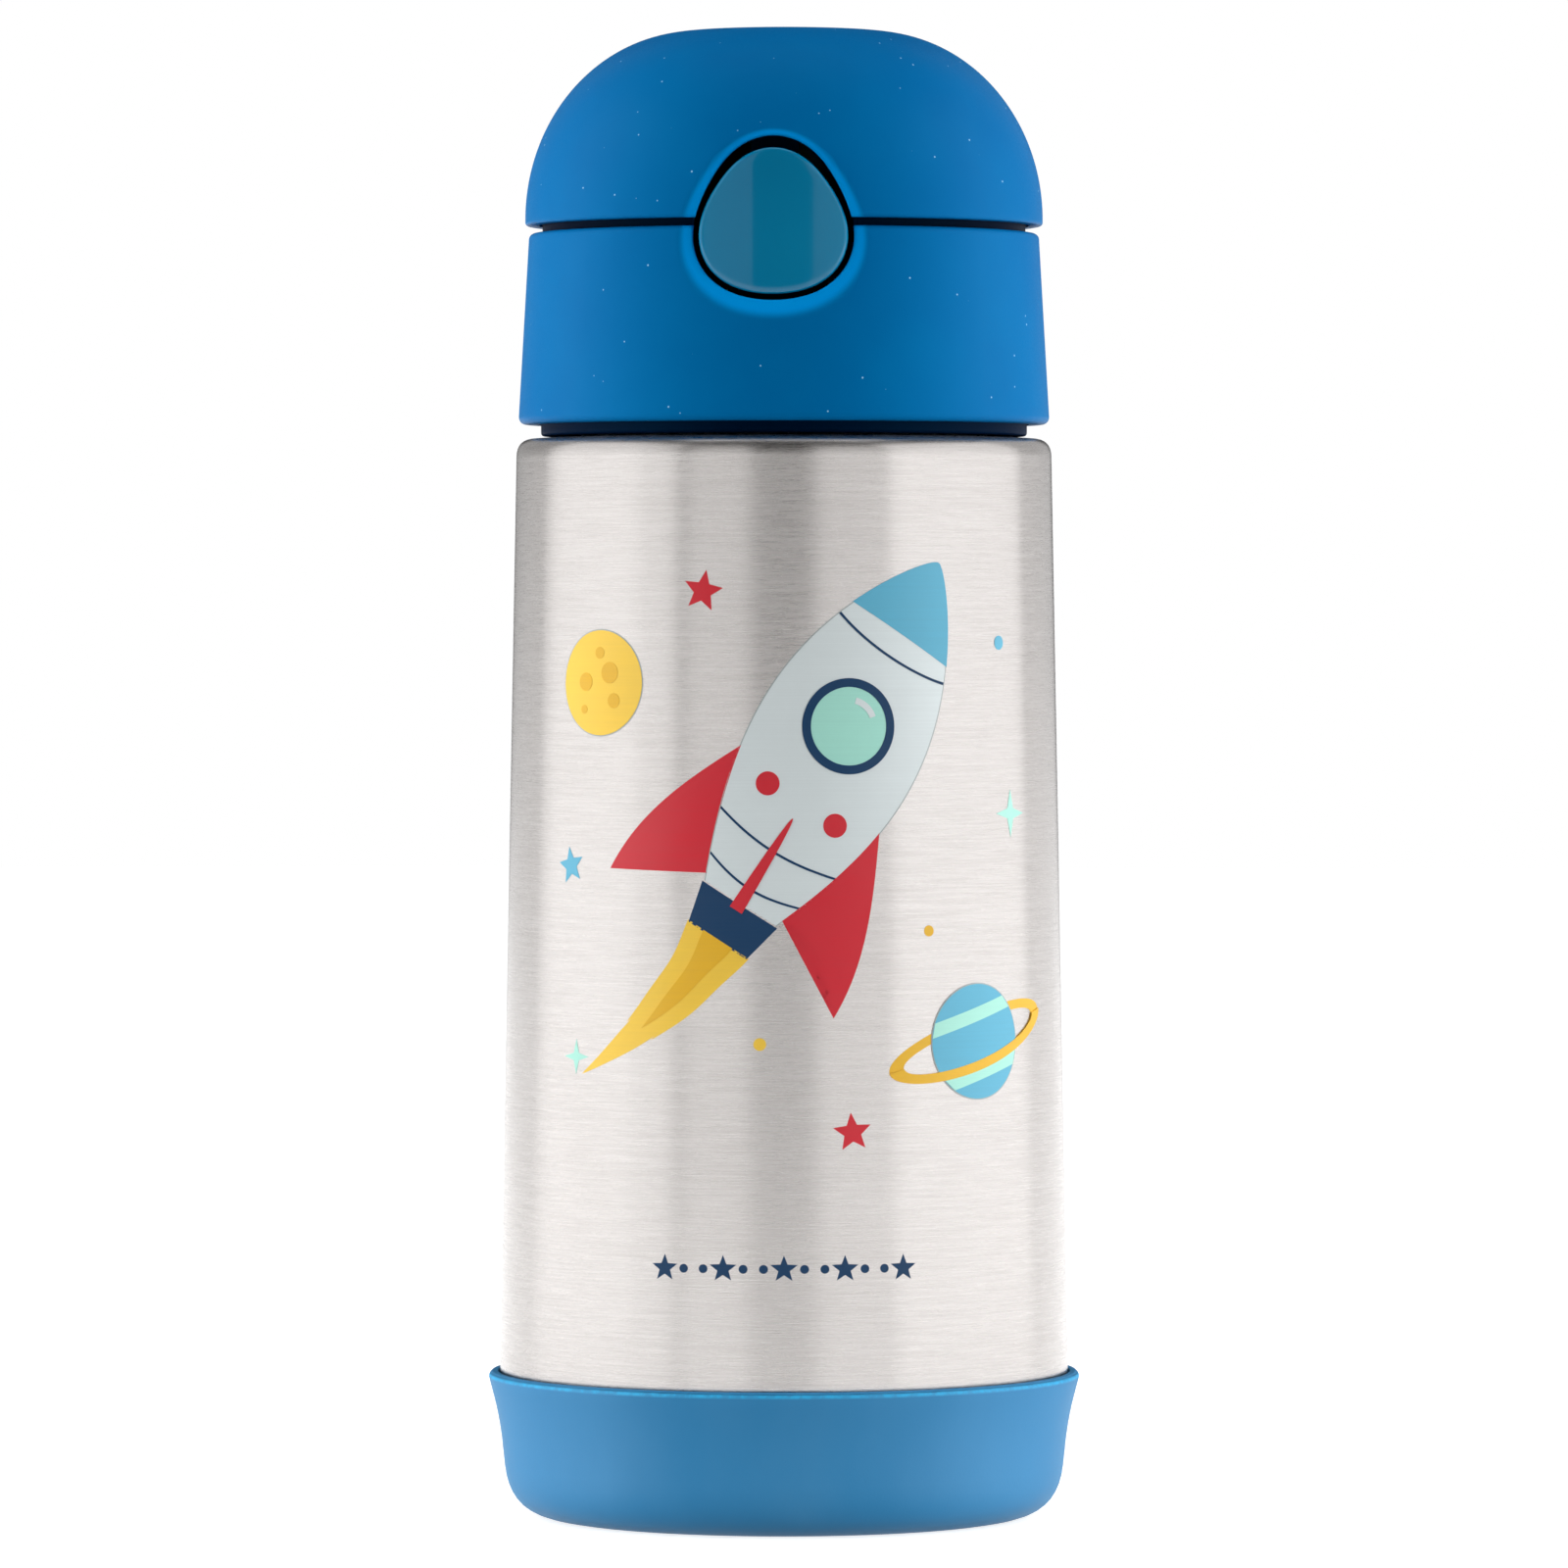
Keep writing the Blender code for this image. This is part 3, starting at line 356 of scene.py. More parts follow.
def glossFinish(name, deep, pale, roughness=0.09):
    f = Finish(name, roughness, 0.0, Coat_Weight=0.35, Coat_Roughness=0.04, Specular_IOR_Level=0.3)
    slow = f.noise(60, 2.0, 0.5)
    ripple = f.noise((160, 160, 60), 2.0, 0.5)
    tone = f.blend(f.ranged(slow, 0.0, 1.0), deep, pale)
    f.colour(f.blend(f.specks(520, 0.985, 0.08), tone, (0.5, 0.72, 0.76)))
    f.rough(f.ranged(slow, roughness - 0.02, roughness + 0.03)).normal(f.bump(ripple, 0.05, 0.25))
    return f


# Silicone with a slow haze. With a highlight colour, the "lip" of its points is a painted highlight on the
# edge, broken by noise.
def siliconeFinish(name, deep, pale, roughness, soften=0.0, paintedHighlight=None, **sockets):
    f = Finish(name, roughness, 0.0, Subsurface_Weight=soften, Subsurface_Scale=0.002, **sockets)
    haze = f.noise((55, 55, 25), 4.0, 0.6)
    skin = f.noise(3600, 2.0, 0.5)
    tone = f.blend(f.ranged(haze, 0.0, 1.0), deep, pale)
    if paintedHighlight:
        # noise that breaks up the painted highlight
        brokenHighlight = f.ranged(f.noise(900, 4.0, 0.7), 0.35, 1.0, 0.4, 0.6)
        tone = f.blend(f.times(f.carried("lip"), brokenHighlight), tone, paintedHighlight)
    f.colour(tone)
    f.rough(f.ranged(haze, roughness - 0.05, roughness + 0.07)).normal(f.bump(skin, 0.010))
    return f


# Screen ink: the brushing under it shows through as faint lines, and its density drifts slowly
def inkFinish(name, colour):
    f = Finish(name, 0.34, 0.0, Specular_IOR_Level=0.2)
    lines = f.noise((30, 30, 5200), 3.0, 0.6)
    drift = f.noise(220, 3.0, 0.6)
    thin = tuple(0.88 * c + 0.01 for c in colour)
    tone = f.blend(f.ranged(lines, 0.0, 0.55), colour, thin)
    f.colour(f.blend(f.ranged(drift, 0.0, 0.3), tone, thin))
    f.rough(f.ranged(drift, 0.28, 0.42)).normal(f.bump(lines, 0.004))
    return f


brushedSteel = steelFinish()
brightSteel = plainSteelFinish()
blueSheen = (0.05, 0.75, 1.0, 1.0)
# The lid's blue; its painted highlight colour lightens the edge round the well
lidBlue = mouldedFinish(
    "lidBlue", (0.0, 0.112, 0.318), (0.0, 0.130, 0.345), 0.42, blueSheen,
    dust=0.18, paintedHighlight=(0.0, 0.265, 0.69),
)
# Near-black blue: the insert's colour darkened to stand in for the shade in the gap under the lid, painted
# shade; the latch takes it too
gapShadeBlue = mouldedFinish("gapShadeBlue", (0.0, 0.006, 0.026), (0.0, 0.009, 0.034), 0.5, blueSheen)
buttonTeal = glossFinish("buttonTeal", (0.0, 0.165, 0.32), (0.0, 0.185, 0.345))
# The boot's blue; its painted highlight colour lightens the rim's outer edge
bootBlue = siliconeFinish(
    "bootBlue", (0.020, 0.182, 0.385), (0.034, 0.205, 0.415), 0.5,
    paintedHighlight=(0.02, 0.34, 0.62), Specular_IOR_Level=0.2,
)
whiteSilicone = siliconeFinish("whiteSilicone", (0.74, 0.75, 0.74), (0.82, 0.83, 0.82), 0.45, 0.3)
milkySilicone = siliconeFinish("milkySilicone", (0.74, 0.79, 0.82), (0.84, 0.88, 0.9), 0.32, 0.4)
clearPlastic = siliconeFinish(
    "clearPlastic", (0.80, 0.86, 0.90), (0.88, 0.92, 0.95), 0.12, Transmission_Weight=0.85,
)
print("finishes made")


body = dict(
    footRadius=33.5, baseRadius=36.4, topRadius=34.2, neckRadius=26.0, wall=0.6,
    foot=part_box("outer_wall")[0].z / mm, bootRim=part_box("silicone_boot")[1].z / mm,
    shoulder=138.0, lip=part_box("outer_wall")[1].z / mm, flange=25.4, sides=240, belowLip=1.0,
)
thread = dict(
    lead=3.0, height=1.0, base=1.5, crest=0.7, fade=0.09,
    neckStart=140.85, neckStep=0.16, lidStart=139.35, lidStep=0.2, lidTurns=2.0, lidShare=0.8,
)


# How far a screw ridge stands out at an angle and height. A turn number n puts the ridge's middle at
# start + lead n; the height falls off on both flanks, and fades over a short way at either end.
def ridge(angle, z, start, turns):
    share = np.mod(angle, tau) / tau
    n = share + np.round((z / mm - start) / thread["lead"] - share)
    away = np.abs(z / mm - start - thread["lead"] * n)
    flank = (thread["base"] / 2 - away) / ((thread["base"] - thread["crest"]) / 2)
    ends = np.minimum(n, turns - n) / thread["fade"]
    return ease(flank) * ease(ends) * thread["height"] * mm


# A line carried round, with a screw ridge on its marked points, which are set closer together first.
# The share is how much of the ridge's height is used: below zero it stands inwards.
def threadedSkin(line, marked, step, sides, share, start, turns, closed):
    marks = np.where(marked)[0]
    fine = refine(line[marks[0]:marks[-1] + 1], step * mm, False)
    line = np.vstack([line[:marks[0]], fine, line[marks[-1] + 1:]])
    points, faces = revolve(line, sides, closed=closed)
    grid = points.reshape(sides, -1, 3)
    angle = (np.arange(sides) * tau / sides)[:, None]
    held = np.zeros(len(line))
    held[marks[0]:marks[0] + len(fine)] = share
    out = ridge(angle, line[None, :, 1], start, turns) * held
    grid[..., 0] += out * np.cos(angle)
    grid[..., 1] += out * np.sin(angle)
    return line, (points, faces)


# The steel's two skins and its thread. For the brushing, u goes round and v along the line, 0.2 m to one.
def steelBody():
    b, w = body, body["wall"]
    line = roundedOutline([
        (b["flange"], b["foot"], 0.1), (b["footRadius"], b["foot"], 4.0),
        (b["baseRadius"], b["bootRim"], 0.6),
        (b["topRadius"], b["shoulder"], 2.3), (b["neckRadius"], b["shoulder"], 0.5),
        (b["neckRadius"], b["lip"], 0.25), (b["neckRadius"] - w, b["lip"], 0.25),
        (b["neckRadius"] - w, b["shoulder"] - w, 0.6), (b["topRadius"] - w, b["shoulder"] - w, 1.8),
        (b["baseRadius"] - w, b["bootRim"], 0.6), (b["footRadius"] - w, b["foot"] + w, 3.4),
        (b["flange"], b["foot"] + w, 0.1),
    ], 8)
    line = refine(line, 5 * mm)
    r, z = line.T
    neck = (np.abs(r - b["neckRadius"] * mm) < 0.01 * mm) & (z > (b["shoulder"] + 0.4) * mm)
    turns = (b["lip"] - b["belowLip"] - thread["base"] / 2 - thread["neckStart"]) / thread["lead"]
    line, skin = threadedSkin(
        line, neck, thread["neckStep"], b["sides"], 1.0, thread["neckStart"], turns, True,
    )
    walked = np.concatenate([[0.0], np.cumsum(np.linalg.norm(np.diff(line, axis=0), axis=1))]) / 0.2
    u = np.arange(b["sides"] + 1) / b["sides"]
    i, j = np.meshgrid(np.arange(b["sides"]), np.arange(len(line)), indexing="ij")
    j2 = (j + 1) % len(line)
    corners = [(u[i], walked[j]), (u[i + 1], walked[j]), (u[i + 1], walked[j2]), (u[i], walked[j2])]
    uv = np.stack([np.stack(c, -1) for c in corners], 2).reshape(-1, 2)
    made = makePiece("steelBody", [skin], "bottle", ["outer_wall"], uv=uv)
    brushedSteel.on(made)


# The steel's radius at a height in millimetres, on the line from the boot's rim to the shoulder
def bodyRadius(z):
    share = (z - body["bootRim"]) / (body["shoulder"] - body["bootRim"])
    return body["baseRadius"] + (body["topRadius"] - body["baseRadius"]) * share


steelBody()
print("steel body made")


bootSizes = dict(
    recess=21.0, recessDepth=0.8, side=35.2, corner=6.6, waist=36.45, waistZ=12.6, rim=37.9, floor=2.4,
    grip=0.25, highlightDepth=0.5, highlightFade=0.28, highlightReach=1.25, highlightWidth=0.35,
)


# The boot's section carried round. Its "lip", a painted highlight on the rim's outer edge, falls off with
# the distance from a height near the rim.
def siliconeBoot():
    b, top = bootSizes, body["bootRim"]
    line = roundedOutline([
        (0.0, b["recessDepth"], 0.0), (b["recess"], b["recessDepth"], 0.25), (b["recess"] + 0.8, 0.0, 0.25),
        (b["side"] - 0.1, 0.0, b["corner"]), (b["waist"], b["waistZ"], 3.0), (b["rim"], top - 0.55, 0.35),
        (b["rim"] - 0.45, top, 0.25), (body["baseRadius"] + b["grip"], top, 0.12),
        (body["footRadius"] + 0.3, b["floor"], 4.0), (0.0, b["floor"], 0.0),
    ], 10)
    skin = revolve(refine(line, 3 * mm, False), 200, closed=False)
    made = makePiece("siliconeBoot", [skin], "bottle", ["silicone_boot"])
    x, y, z = pointsOf(made).T / mm
    near = np.clip(b["highlightReach"] - np.abs(z - top + b["highlightDepth"]) / b["highlightFade"], 0.0, 1.0)
    # painted highlight along the rim's outer edge, carried as "lip"
    carry(made, "lip", near * (np.hypot(x, y) > b["rim"] - b["highlightWidth"]))
    bootBlue.on(made)


siliconeBoot()
print("boot made")


well = dict(
    z=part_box("lid_collar")[0].z / mm + 24.4 + 0.5, radius=9.14, bulge=0.52, gap=0.75, headroom=0.8,
    dishWidth=1.8, dishLean=0.8, dishDepth=0.62, roll=0.28, spread=16.5, depth=27.1,
    shadeDepth=0.96, wellHighlightFade=1.9,
)


# Radius of the button's outline at an angle from +X: the radius less 2 bulge sin(2 angle) cos(angle),
# grown a little, which gives a rounded triangle with its point up
def outlineRadius(t, grow=0.0):
    return (well["radius"] - 2 * well["bulge"] * np.sin(2 * t) * np.cos(t) + grow) * mm


# The hole round the button: a gap wider all round, and more above it, by the headroom times sine squared
def holeRadius(t):
    return outlineRadius(t, well["gap"] + well["headroom"] * np.maximum(0.0, np.sin(t)) ** 2)


# The distance from the hole's outline at (x, z), and the share of the dish's width that is left there
def fromHole(x, z):
    w = well
    t = np.arctan2(z - w["z"] * mm, x)
    away = np.hypot(x, z - w["z"] * mm) - holeRadius(t)
    width = (w["dishWidth"] - w["dishLean"] * np.sin(t)) * mm
    return away, np.clip(1 - away / width, 0.0, 1.0)


# How far the front is pressed in at (x, z). Outside the hole it is the dish, as deep as a power of the
# share of its width that is left; next to the hole the edge rolls over on a quarter circle.
def pressedIn(x, z):
    w = well
    away, left = fromHole(x, z)
    roll = w["roll"] * mm
    short = np.clip(roll - away, 0.0, roll)
    return w["dishDepth"] * mm * left**1.45 + roll - np.sqrt(np.maximum(roll**2 - short**2, 0.0))


# One moulding with half of the button's well in its edge. The grid's columns go round by angle from the
# front, and its rows run from the edge at the seam to the far end. At the front a block of it gives way to
# a patch, whose lines run from the well's outline to the block's own border. The inner skin has the same
# rows and columns at its own radius, and a rim of a few rows joins the two.
def welledSkin(rows, blockRows, up, outerRadius, innerPoint, rim=(), sides=(60, 150), crease=0.0):
    w = well
    frontColumns, restColumns = sides
    seam = rows[0, 1]
    reach = math.asin(w["spread"] * mm / float(outerRadius(np.array(w["z"] * mm + up * 5 * mm))))
    front = np.linspace(-reach, reach, frontColumns + 1)
    angles = np.concatenate([front, np.linspace(reach, tau - reach, restColumns + 1)[1:-1]])

    def outer(angle, r, z):
        x, y = r * np.sin(angle), -r * np.cos(angle)
        push = np.where(y < 0, pressedIn(x, z) + crease * mm * (np.abs(x) < 0.02 * mm), 0.0)
        return np.stack([x, y + push, z + 0 * x], -1)

    # at radius ri, straight behind the outer point at the front, and on the same angle elsewhere
    def behind(angle, r, ri, z):
        turned = np.abs(np.mod(angle + math.pi, tau) - math.pi)
        x = (ri + (r - ri) * (1 - ease((turned - 0.55) / 0.4))) * np.sin(angle)
        y = -np.sqrt(np.maximum(ri**2 - x**2, 0.0)) * np.where(np.cos(angle) < 0, -1.0, 1.0)
        return np.stack([x, y, z + 0 * x], -1)

    def inner(angle, r, z):
        ri, zi = innerPoint(r, z)
        return behind(angle, r, ri, zi)

    gridAngles, gridR = np.meshgrid(angles, rows[:, 0], indexing="ij")
    gridZ = np.broadcast_to(rows[:, 1], gridR.shape)
    faces = gridFaces(len(angles), len(rows), True, False)
    faces = faces[~((faces[:, 0] // len(rows) < frontColumns) & (faces[:, 0] % len(rows) < blockRows))]

    # the block's border, from the seam along the left, across, and back on the right
    k = np.arange(2 * blockRows + frontColumns + 1)
    borderA = front[np.clip(k - blockRows, 0, frontColumns)]
    borderZ = rows[np.minimum(np.minimum(k, k[::-1]), blockRows), 1]

    # the outline's points: near the seam at the border's own heights, further on by even angles
    t = np.linspace(math.pi / 2, 1.5 * math.pi, 2001)
    level = w["z"] * mm + holeRadius(t) * np.sin(t)
    cornerT = math.radians(180 - up * 48)
    span = abs(w["z"] * mm + float(holeRadius(np.array(cornerT))) * math.sin(cornerT) - seam)
    h, held = np.abs(borderZ - seam), 1.5 * mm
    sideH = np.where(h < held, h, held + (h - held) * (span - held) / (h[blockRows] - held))
    sideT = np.interp(seam + up * sideH, level[::-1], t[::-1])
    across = borderA / reach
    middleT = math.pi - up * math.pi / 2 - (math.radians(42) * across) * up
    middle = (k > blockRows) & (k < k[-1] - blockRows)
    outT = np.where(middle, middleT, np.where(across < 0, sideT, math.pi - sideT))
    outX = np.abs(holeRadius(outT) * np.cos(outT)) * np.where(np.abs(across) < 1e-9, 0.0, np.sign(across))
    outZ = w["z"] * mm + holeRadius(outT) * np.sin(outT)
    outZ[[0, -1]] = seam
    outR = outerRadius(outZ)
    outA = np.arcsin(outX / outR)

    # the way from the outline to the border: short steps on the rolled edge, then growing ones
    length = np.hypot(outR * (borderA - outA), borderZ - outZ)[:, None]
    roll = w["roll"] * mm
    rolled = roll * (1 - np.sin(np.linspace(math.pi / 2, 0.0, 5)))[None, :] + 0 * length
    growing = roll + (length - roll) * np.linspace(0.0, 1.0, 22)[None, 1:] ** 1.25
    shares = np.concatenate([rolled, growing], 1) / length
    patchA = outA[:, None] + (borderA - outA)[:, None] * shares
    patchZ = outZ[:, None] + (borderZ - outZ)[:, None] * shares
    patchR = outerRadius(patchZ)
    patchFaces = gridFaces(*patchA.shape, False, False)

    # the edge that both skins share: the seam round the back, then the well's outline
    seamA = np.concatenate([patchA[-1], angles[frontColumns + 1:], [tau - reach], patchA[0][::-1][1:] + tau])
    lifted = np.concatenate([np.ones(len(seamA)), np.zeros(len(outA))])
    edgeA = np.concatenate([seamA, outA])
    edgeZ = np.concatenate([np.full(len(seamA), seam), outZ])
    edgeR = outerRadius(edgeZ)
    innerR = innerPoint(edgeR, edgeZ)[0]
    strips = [outer(edgeA, edgeR, edgeZ)]
    for r, lift in rim:
        depth = np.where(lifted > 0, r * mm, np.maximum(r * mm, innerR))
        strips.append(behind(edgeA, edgeR, depth, edgeZ + lift * mm * lifted))
    strips.append(inner(edgeA, edgeR, edgeZ))
    strip = np.stack(strips, 1)

    def flat(points):
        return points.reshape(-1, 3)

    skins = [
        (flat(outer(gridAngles, gridR, gridZ)), faces), (flat(inner(gridAngles, gridR, gridZ)), faces),
        (flat(outer(patchA, patchR, patchZ)), patchFaces), (flat(inner(patchA, patchR, patchZ)), patchFaces),
        (flat(strip), gridFaces(len(edgeA), len(strips), True, False)),
    ]
    ends = np.stack([outer(angles, rows[-1, 0], rows[-1, 1]), inner(angles, rows[-1, 0], rows[-1, 1])], 1)
    if rows[-1, 0] > mm:
        skins.append((flat(ends), gridFaces(len(angles), 2, True, False)))
    return skins


# Two values at each point: how far it lies in the painted highlight round the well ("lip"), and whether it
# is on the well's wall or on the spigot, which get painted shade ("shade"). The highlight fades outwards as
# the share of the dish's width that is left, eased.
def markBand(made, outerRadius, shadeAbove=1.0, shadeWithin=0.0):
    w = well
    x, y, z = pointsOf(made).T
    away, left = fromHole(x, z)
    deep = outerRadius(z) - np.hypot(x, y) > w["shadeDepth"] * mm
    onWall = (np.abs(away) < 0.06 * mm) & deep & (y < 0)
    onSpigot = (z > shadeAbove) & (np.hypot(x, y) < shadeWithin)
    # lip: painted highlight round the well, on the front skin only and not on the well's wall
    carry(made, "lip", ease(w["wellHighlightFade"] * left) * (y < 0) * ~deep * (away > -0.1 * mm))
    # shade: painted shade on the well's wall and on the spigot
    carry(made, "shade", onWall | onSpigot)


# Points of an arc in degrees, in metres
def arcPoints(centre, radius, start, end, steps=24):
    a = np.radians(np.linspace(start, end, steps + 1))
    return np.stack([centre[0] + radius * np.cos(a), centre[1] + radius * np.sin(a)], -1) * mm


def quarter(steps=5):
    return np.linspace(math.pi / 2, 0.0, steps + 1)


collar = dict(
    foot=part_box("lid_collar")[0].z / mm, height=24.4, footRadius=34.0, topRadius=32.6,
    topRound=0.7, footRound=1.0, bore=31.4, spigot=30.9, spigotInside=29.4, spigotRise=1.8,
    insertTop=158.1, blockEnd=150.0, crease=0.05,
)
hinge = dict(
    y=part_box("hinge_pin")[0].y / mm + 1.0, z=165.2, radius=2.2, pin=1.0, play=0.3, holeReach=12,
    lug=(2.6, 5.7), knuckle=(6.0, 9.3),
)
collar["top"] = collar["foot"] + collar["height"]


# A line between two radii, less what the rounded corners take off near either end
def collarRadius(z):
    c = collar
    h = np.asarray(z) / mm
    base = c["footRadius"] - (c["footRadius"] - c["topRadius"]) * (h - c["foot"]) / c["height"]
    nearTop = np.clip(c["topRound"] - (c["top"] - h), 0.0, c["topRound"])
    nearFoot = np.clip(c["footRound"] - (h - c["foot"]), 0.0, c["footRound"])
    cut = c["topRound"] - np.sqrt(c["topRound"] ** 2 - nearTop**2)
    cut += c["footRound"] - np.sqrt(c["footRound"] ** 2 - nearFoot**2)
    return (base - cut) * mm


def pinHole():
    r, reach = hinge["pin"] + hinge["play"], hinge["holeReach"]
    line = np.array([[0, -reach], [r, -reach], [r, reach], [0, reach]]) * mm
    return makePiece("pinHoleTool", [revolveX(line, (hinge["y"] * mm, hinge["z"] * mm))], None)


# A lug on either side of the middle: an arc about the pin from start to end in degrees, and two more points
def hingeTools(name, start, end, corners, edge):
    arc = arcPoints((hinge["y"], hinge["z"]), hinge["radius"], start, end)
    line = np.vstack([arc, np.array(corners) * mm])
    near, far = hinge[name]
    return [makePiece(f"{name}Tool{i}", [extrude(line, *span, edge, (1, 2, 0))], None)
            for i, span in enumerate(((near, far), (-far, -near)))]


# The ring of the lid, with the well in its top edge, the spigot that the cap goes over, and two lugs
def lidCollar():
    c, h = collar, hinge
    top = c["top"] - c["topRound"] * (1 - np.sin(quarter()))
    block = np.linspace(c["top"] - c["topRound"], c["blockEnd"], 28)[1:]
    rest = np.linspace(c["blockEnd"], c["foot"] + c["footRound"], 9)[1:]
    foot = c["foot"] + c["footRound"] * (1 - np.sin(quarter()[::-1]))
    z = np.concatenate([top, block, rest, foot[1:]]) * mm
    rows = np.stack([collarRadius(z), z], -1)

    def innerPoint(r, z):
        share = ease((z / mm - c["insertTop"] - 0.1) / 0.3)
        return (c["bore"] + (c["spigotInside"] - c["bore"]) * share) * mm + 0 * r, z + 0 * r

    rim = [(c["spigot"], 0.0), (c["spigot"], c["spigotRise"] - 0.3), (c["spigot"] - 0.3, c["spigotRise"]),
           (c["spigotInside"] + 0.3, c["spigotRise"]), (c["spigotInside"], c["spigotRise"] - 0.3)]
    count = len(top) - 1 + len(block)
    skins = welledSkin(rows, count, -1, collarRadius, innerPoint, rim, crease=c["crease"])
    made = makePiece("lidCollar", skins, None)
    buried = (c["bore"] + c["topRadius"]) / 2 - 0.3
    corners = [[buried, h["z"] - 8.0], [buried, c["top"] - 0.9]]
    shapeWith(made, hingeTools("lug", 200, -50, corners, 0.25), "UNION")
    shapeWith(made, [pinHole()], "DIFFERENCE")
    # the spigot above the collar's top gets painted shade, as the well's wall does
    markBand(made, collarRadius, (c["top"] - 0.02) * mm, (c["spigot"] + 0.1) * mm)
    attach(made, "lid")
    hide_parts("lid_collar")
    lidBlue.on(made)


cap = dict(
    foot=165.2, height=24.8, radius=33.1, flat=11.5, skirt=0.8, wall=1.8, footRound=0.4, blockEnd=179.5,
    top=190.0, innerStart=178.0, catch=(175.7, 176.6), catchHalf=3, catchGap=0.7,
)


# An ellipse from the skirt up to the flat top: radius = flat + (side - flat) sqrt(1 - rise squared)
def capRadius(z, wall=0.0):
    c = cap
    h = np.asarray(z) / mm
    rise = np.clip((h - c["foot"] - c["skirt"]) / (c["height"] - c["skirt"] - wall), 0.0, 1.0)
    near = np.clip(c["footRound"] - (h - c["foot"]), 0.0, c["footRound"]) * (wall == 0.0)
    cut = c["footRound"] - np.sqrt(c["footRound"] ** 2 - near**2)
    return (c["flat"] + (c["radius"] - wall - c["flat"]) * np.sqrt(1 - rise**2) - cut) * mm


# The dome, with the well in its lower edge, two knuckles on the pin, and the ledge that the latch catches
def flipCap():
    c, h = cap, hinge
    foot = c["foot"] + c["footRound"] * (1 - np.sin(quarter(4)))
    block = np.linspace(c["foot"] + c["footRound"], c["blockEnd"], 30)[1:]
    rise = c["height"] - c["skirt"]
    start = math.asin((c["blockEnd"] - c["foot"] - c["skirt"]) / rise)
    dome = np.sin(np.linspace(start, math.pi / 2, 27)[1:]) * rise + c["foot"] + c["skirt"]
    z = np.concatenate([foot, block, dome]) * mm
    rows = np.stack([capRadius(z), z], -1)
    flatTop = np.stack([np.linspace(c["flat"], 0.0, 7)[1:], np.full(6, c["top"])], -1) * mm
    rows = np.vstack([rows, flatTop])
    rows[-1, 0] = 0.0

    def innerPoint(r, z):
        high = z - c["wall"] * mm * ease((z / mm - c["innerStart"]) / (c["top"] - c["innerStart"]))
        onTop = z > (c["top"] - 0.001) * mm
        return np.where(onTop, np.minimum(r, c["flat"] * mm), capRadius(high, c["wall"])), high

    skins = welledSkin(rows, len(foot) - 1 + len(block), 1, capRadius, innerPoint)
    made = makePiece("flipCap", skins, None)
    buried = c["radius"] - c["wall"] + 0.15
    corners = [[buried, h["z"] + 5.0], [buried, h["z"] + 0.45]]
    tools = hingeTools("knuckle", 190, 410, corners, 0.3)
    half, back = c["catchHalf"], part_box("latch")[0].y / mm - c["catchGap"]
    front = -float(capRadius(np.array(c["catch"][0] * mm), c["wall"])) / mm - 0.6
    ledge = roundedOutline([(-half, front), (half, front), (half, back, 0.3), (-half, back, 0.3)], 3)
    tools.append(makePiece("catchTool", [extrude(ledge, *c["catch"], 0.15)], None))
    shapeWith(made, tools, "UNION")
    shapeWith(made, [pinHole()], "DIFFERENCE")
    markBand(made, capRadius)
    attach(made, "cap")
    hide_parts("flip_cap")
    lidBlue.on(made)


lidCollar()
flipCap()
print("collar and cap made")


insert = dict(
    bore=27.3, radius=31.1, foot=138.3, top=158.1, inside=29.4, deck=154.8, deckUnder=152.6, sides=180,
    spoutHole=6.1, spoutBack=4.0, ventHole=1.3, vent=(13.0, 9.0), drill=(150, 158),
    guideTop=159.2, guideInside=4.9, guideOutside=6.1, guideWall=1.2,
)


def disc(name, radius, low, high, centre):
    line = np.array([[0, low], [radius, low], [radius, high], [0, high]]) * mm
    return makePiece(name, [revolve(line, 64, centre, closed=False)], None)


# The lid's inner part: a deck in a threaded ring, with the latch's guide, the well and two holes
def threadedInsert():
    c = insert
    line = roundedOutline([
        (0, c["deck"]), (c["inside"], c["deck"], 0.5), (c["inside"], c["top"], 0.3),
        (c["radius"], c["top"], 0.3),
        (c["radius"], c["foot"], 0.5), (c["bore"], c["foot"], 0.5), (c["bore"], c["deckUnder"], 0.4),
        (0, c["deckUnder"]),
    ])
    onBore = np.abs(line[:, 0] - c["bore"] * mm) < 0.01 * mm
    _, skin = threadedSkin(
        line, onBore, thread["lidStep"], c["sides"], -thread["lidShare"],
        thread["lidStart"], thread["lidTurns"], False,
    )
    made = makePiece("threadedInsert", [skin], None)
    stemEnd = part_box("latch")[1].y / mm
    front, post = stemEnd - 5.0 + 2.9, stemEnd + 6.1
    near, far, back = c["guideInside"], c["guideOutside"], post + c["guideWall"]
    guide = roundedOutline([
        (-far, front, 0.4), (-near, front, 0.4), (-near, post, 0.3), (near, post, 0.3),
        (near, front, 0.4), (far, front, 0.4), (far, back, 0.6), (-far, back, 0.6),
    ], 4)
    block = extrude(guide, c["deck"] - 1.0, c["guideTop"], 0.25)
    shapeWith(made, [makePiece("guideTool", [block], None)], "UNION")
    t = np.arange(120) * tau / 120 + 0.01
    hole = np.stack([holeRadius(t) * np.cos(t), well["z"] * mm + holeRadius(t) * np.sin(t)], -1)
    shapeWith(made, [
        makePiece("wellTool", [extrude(hole, -40, -well["depth"], 0.0, (0, 2, 1))], None),
        disc("spoutHoleTool", c["spoutHole"], *c["drill"], (0, c["spoutBack"])),
        disc("ventHoleTool", c["ventHole"], *c["drill"], c["vent"]),
    ], "DIFFERENCE")
    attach(made, "lid")
    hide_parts("threaded_insert")
    gapShadeBlue.on(made)


spout = dict(
    back=4.0, bore=2.2, tip=5.2, side=6.4, sideFoot=157.5, flange=9.0, flangeFoot=155.1, flangeTop=157.1,
    sleeve=5.8, sleeveBore=3.8,
)


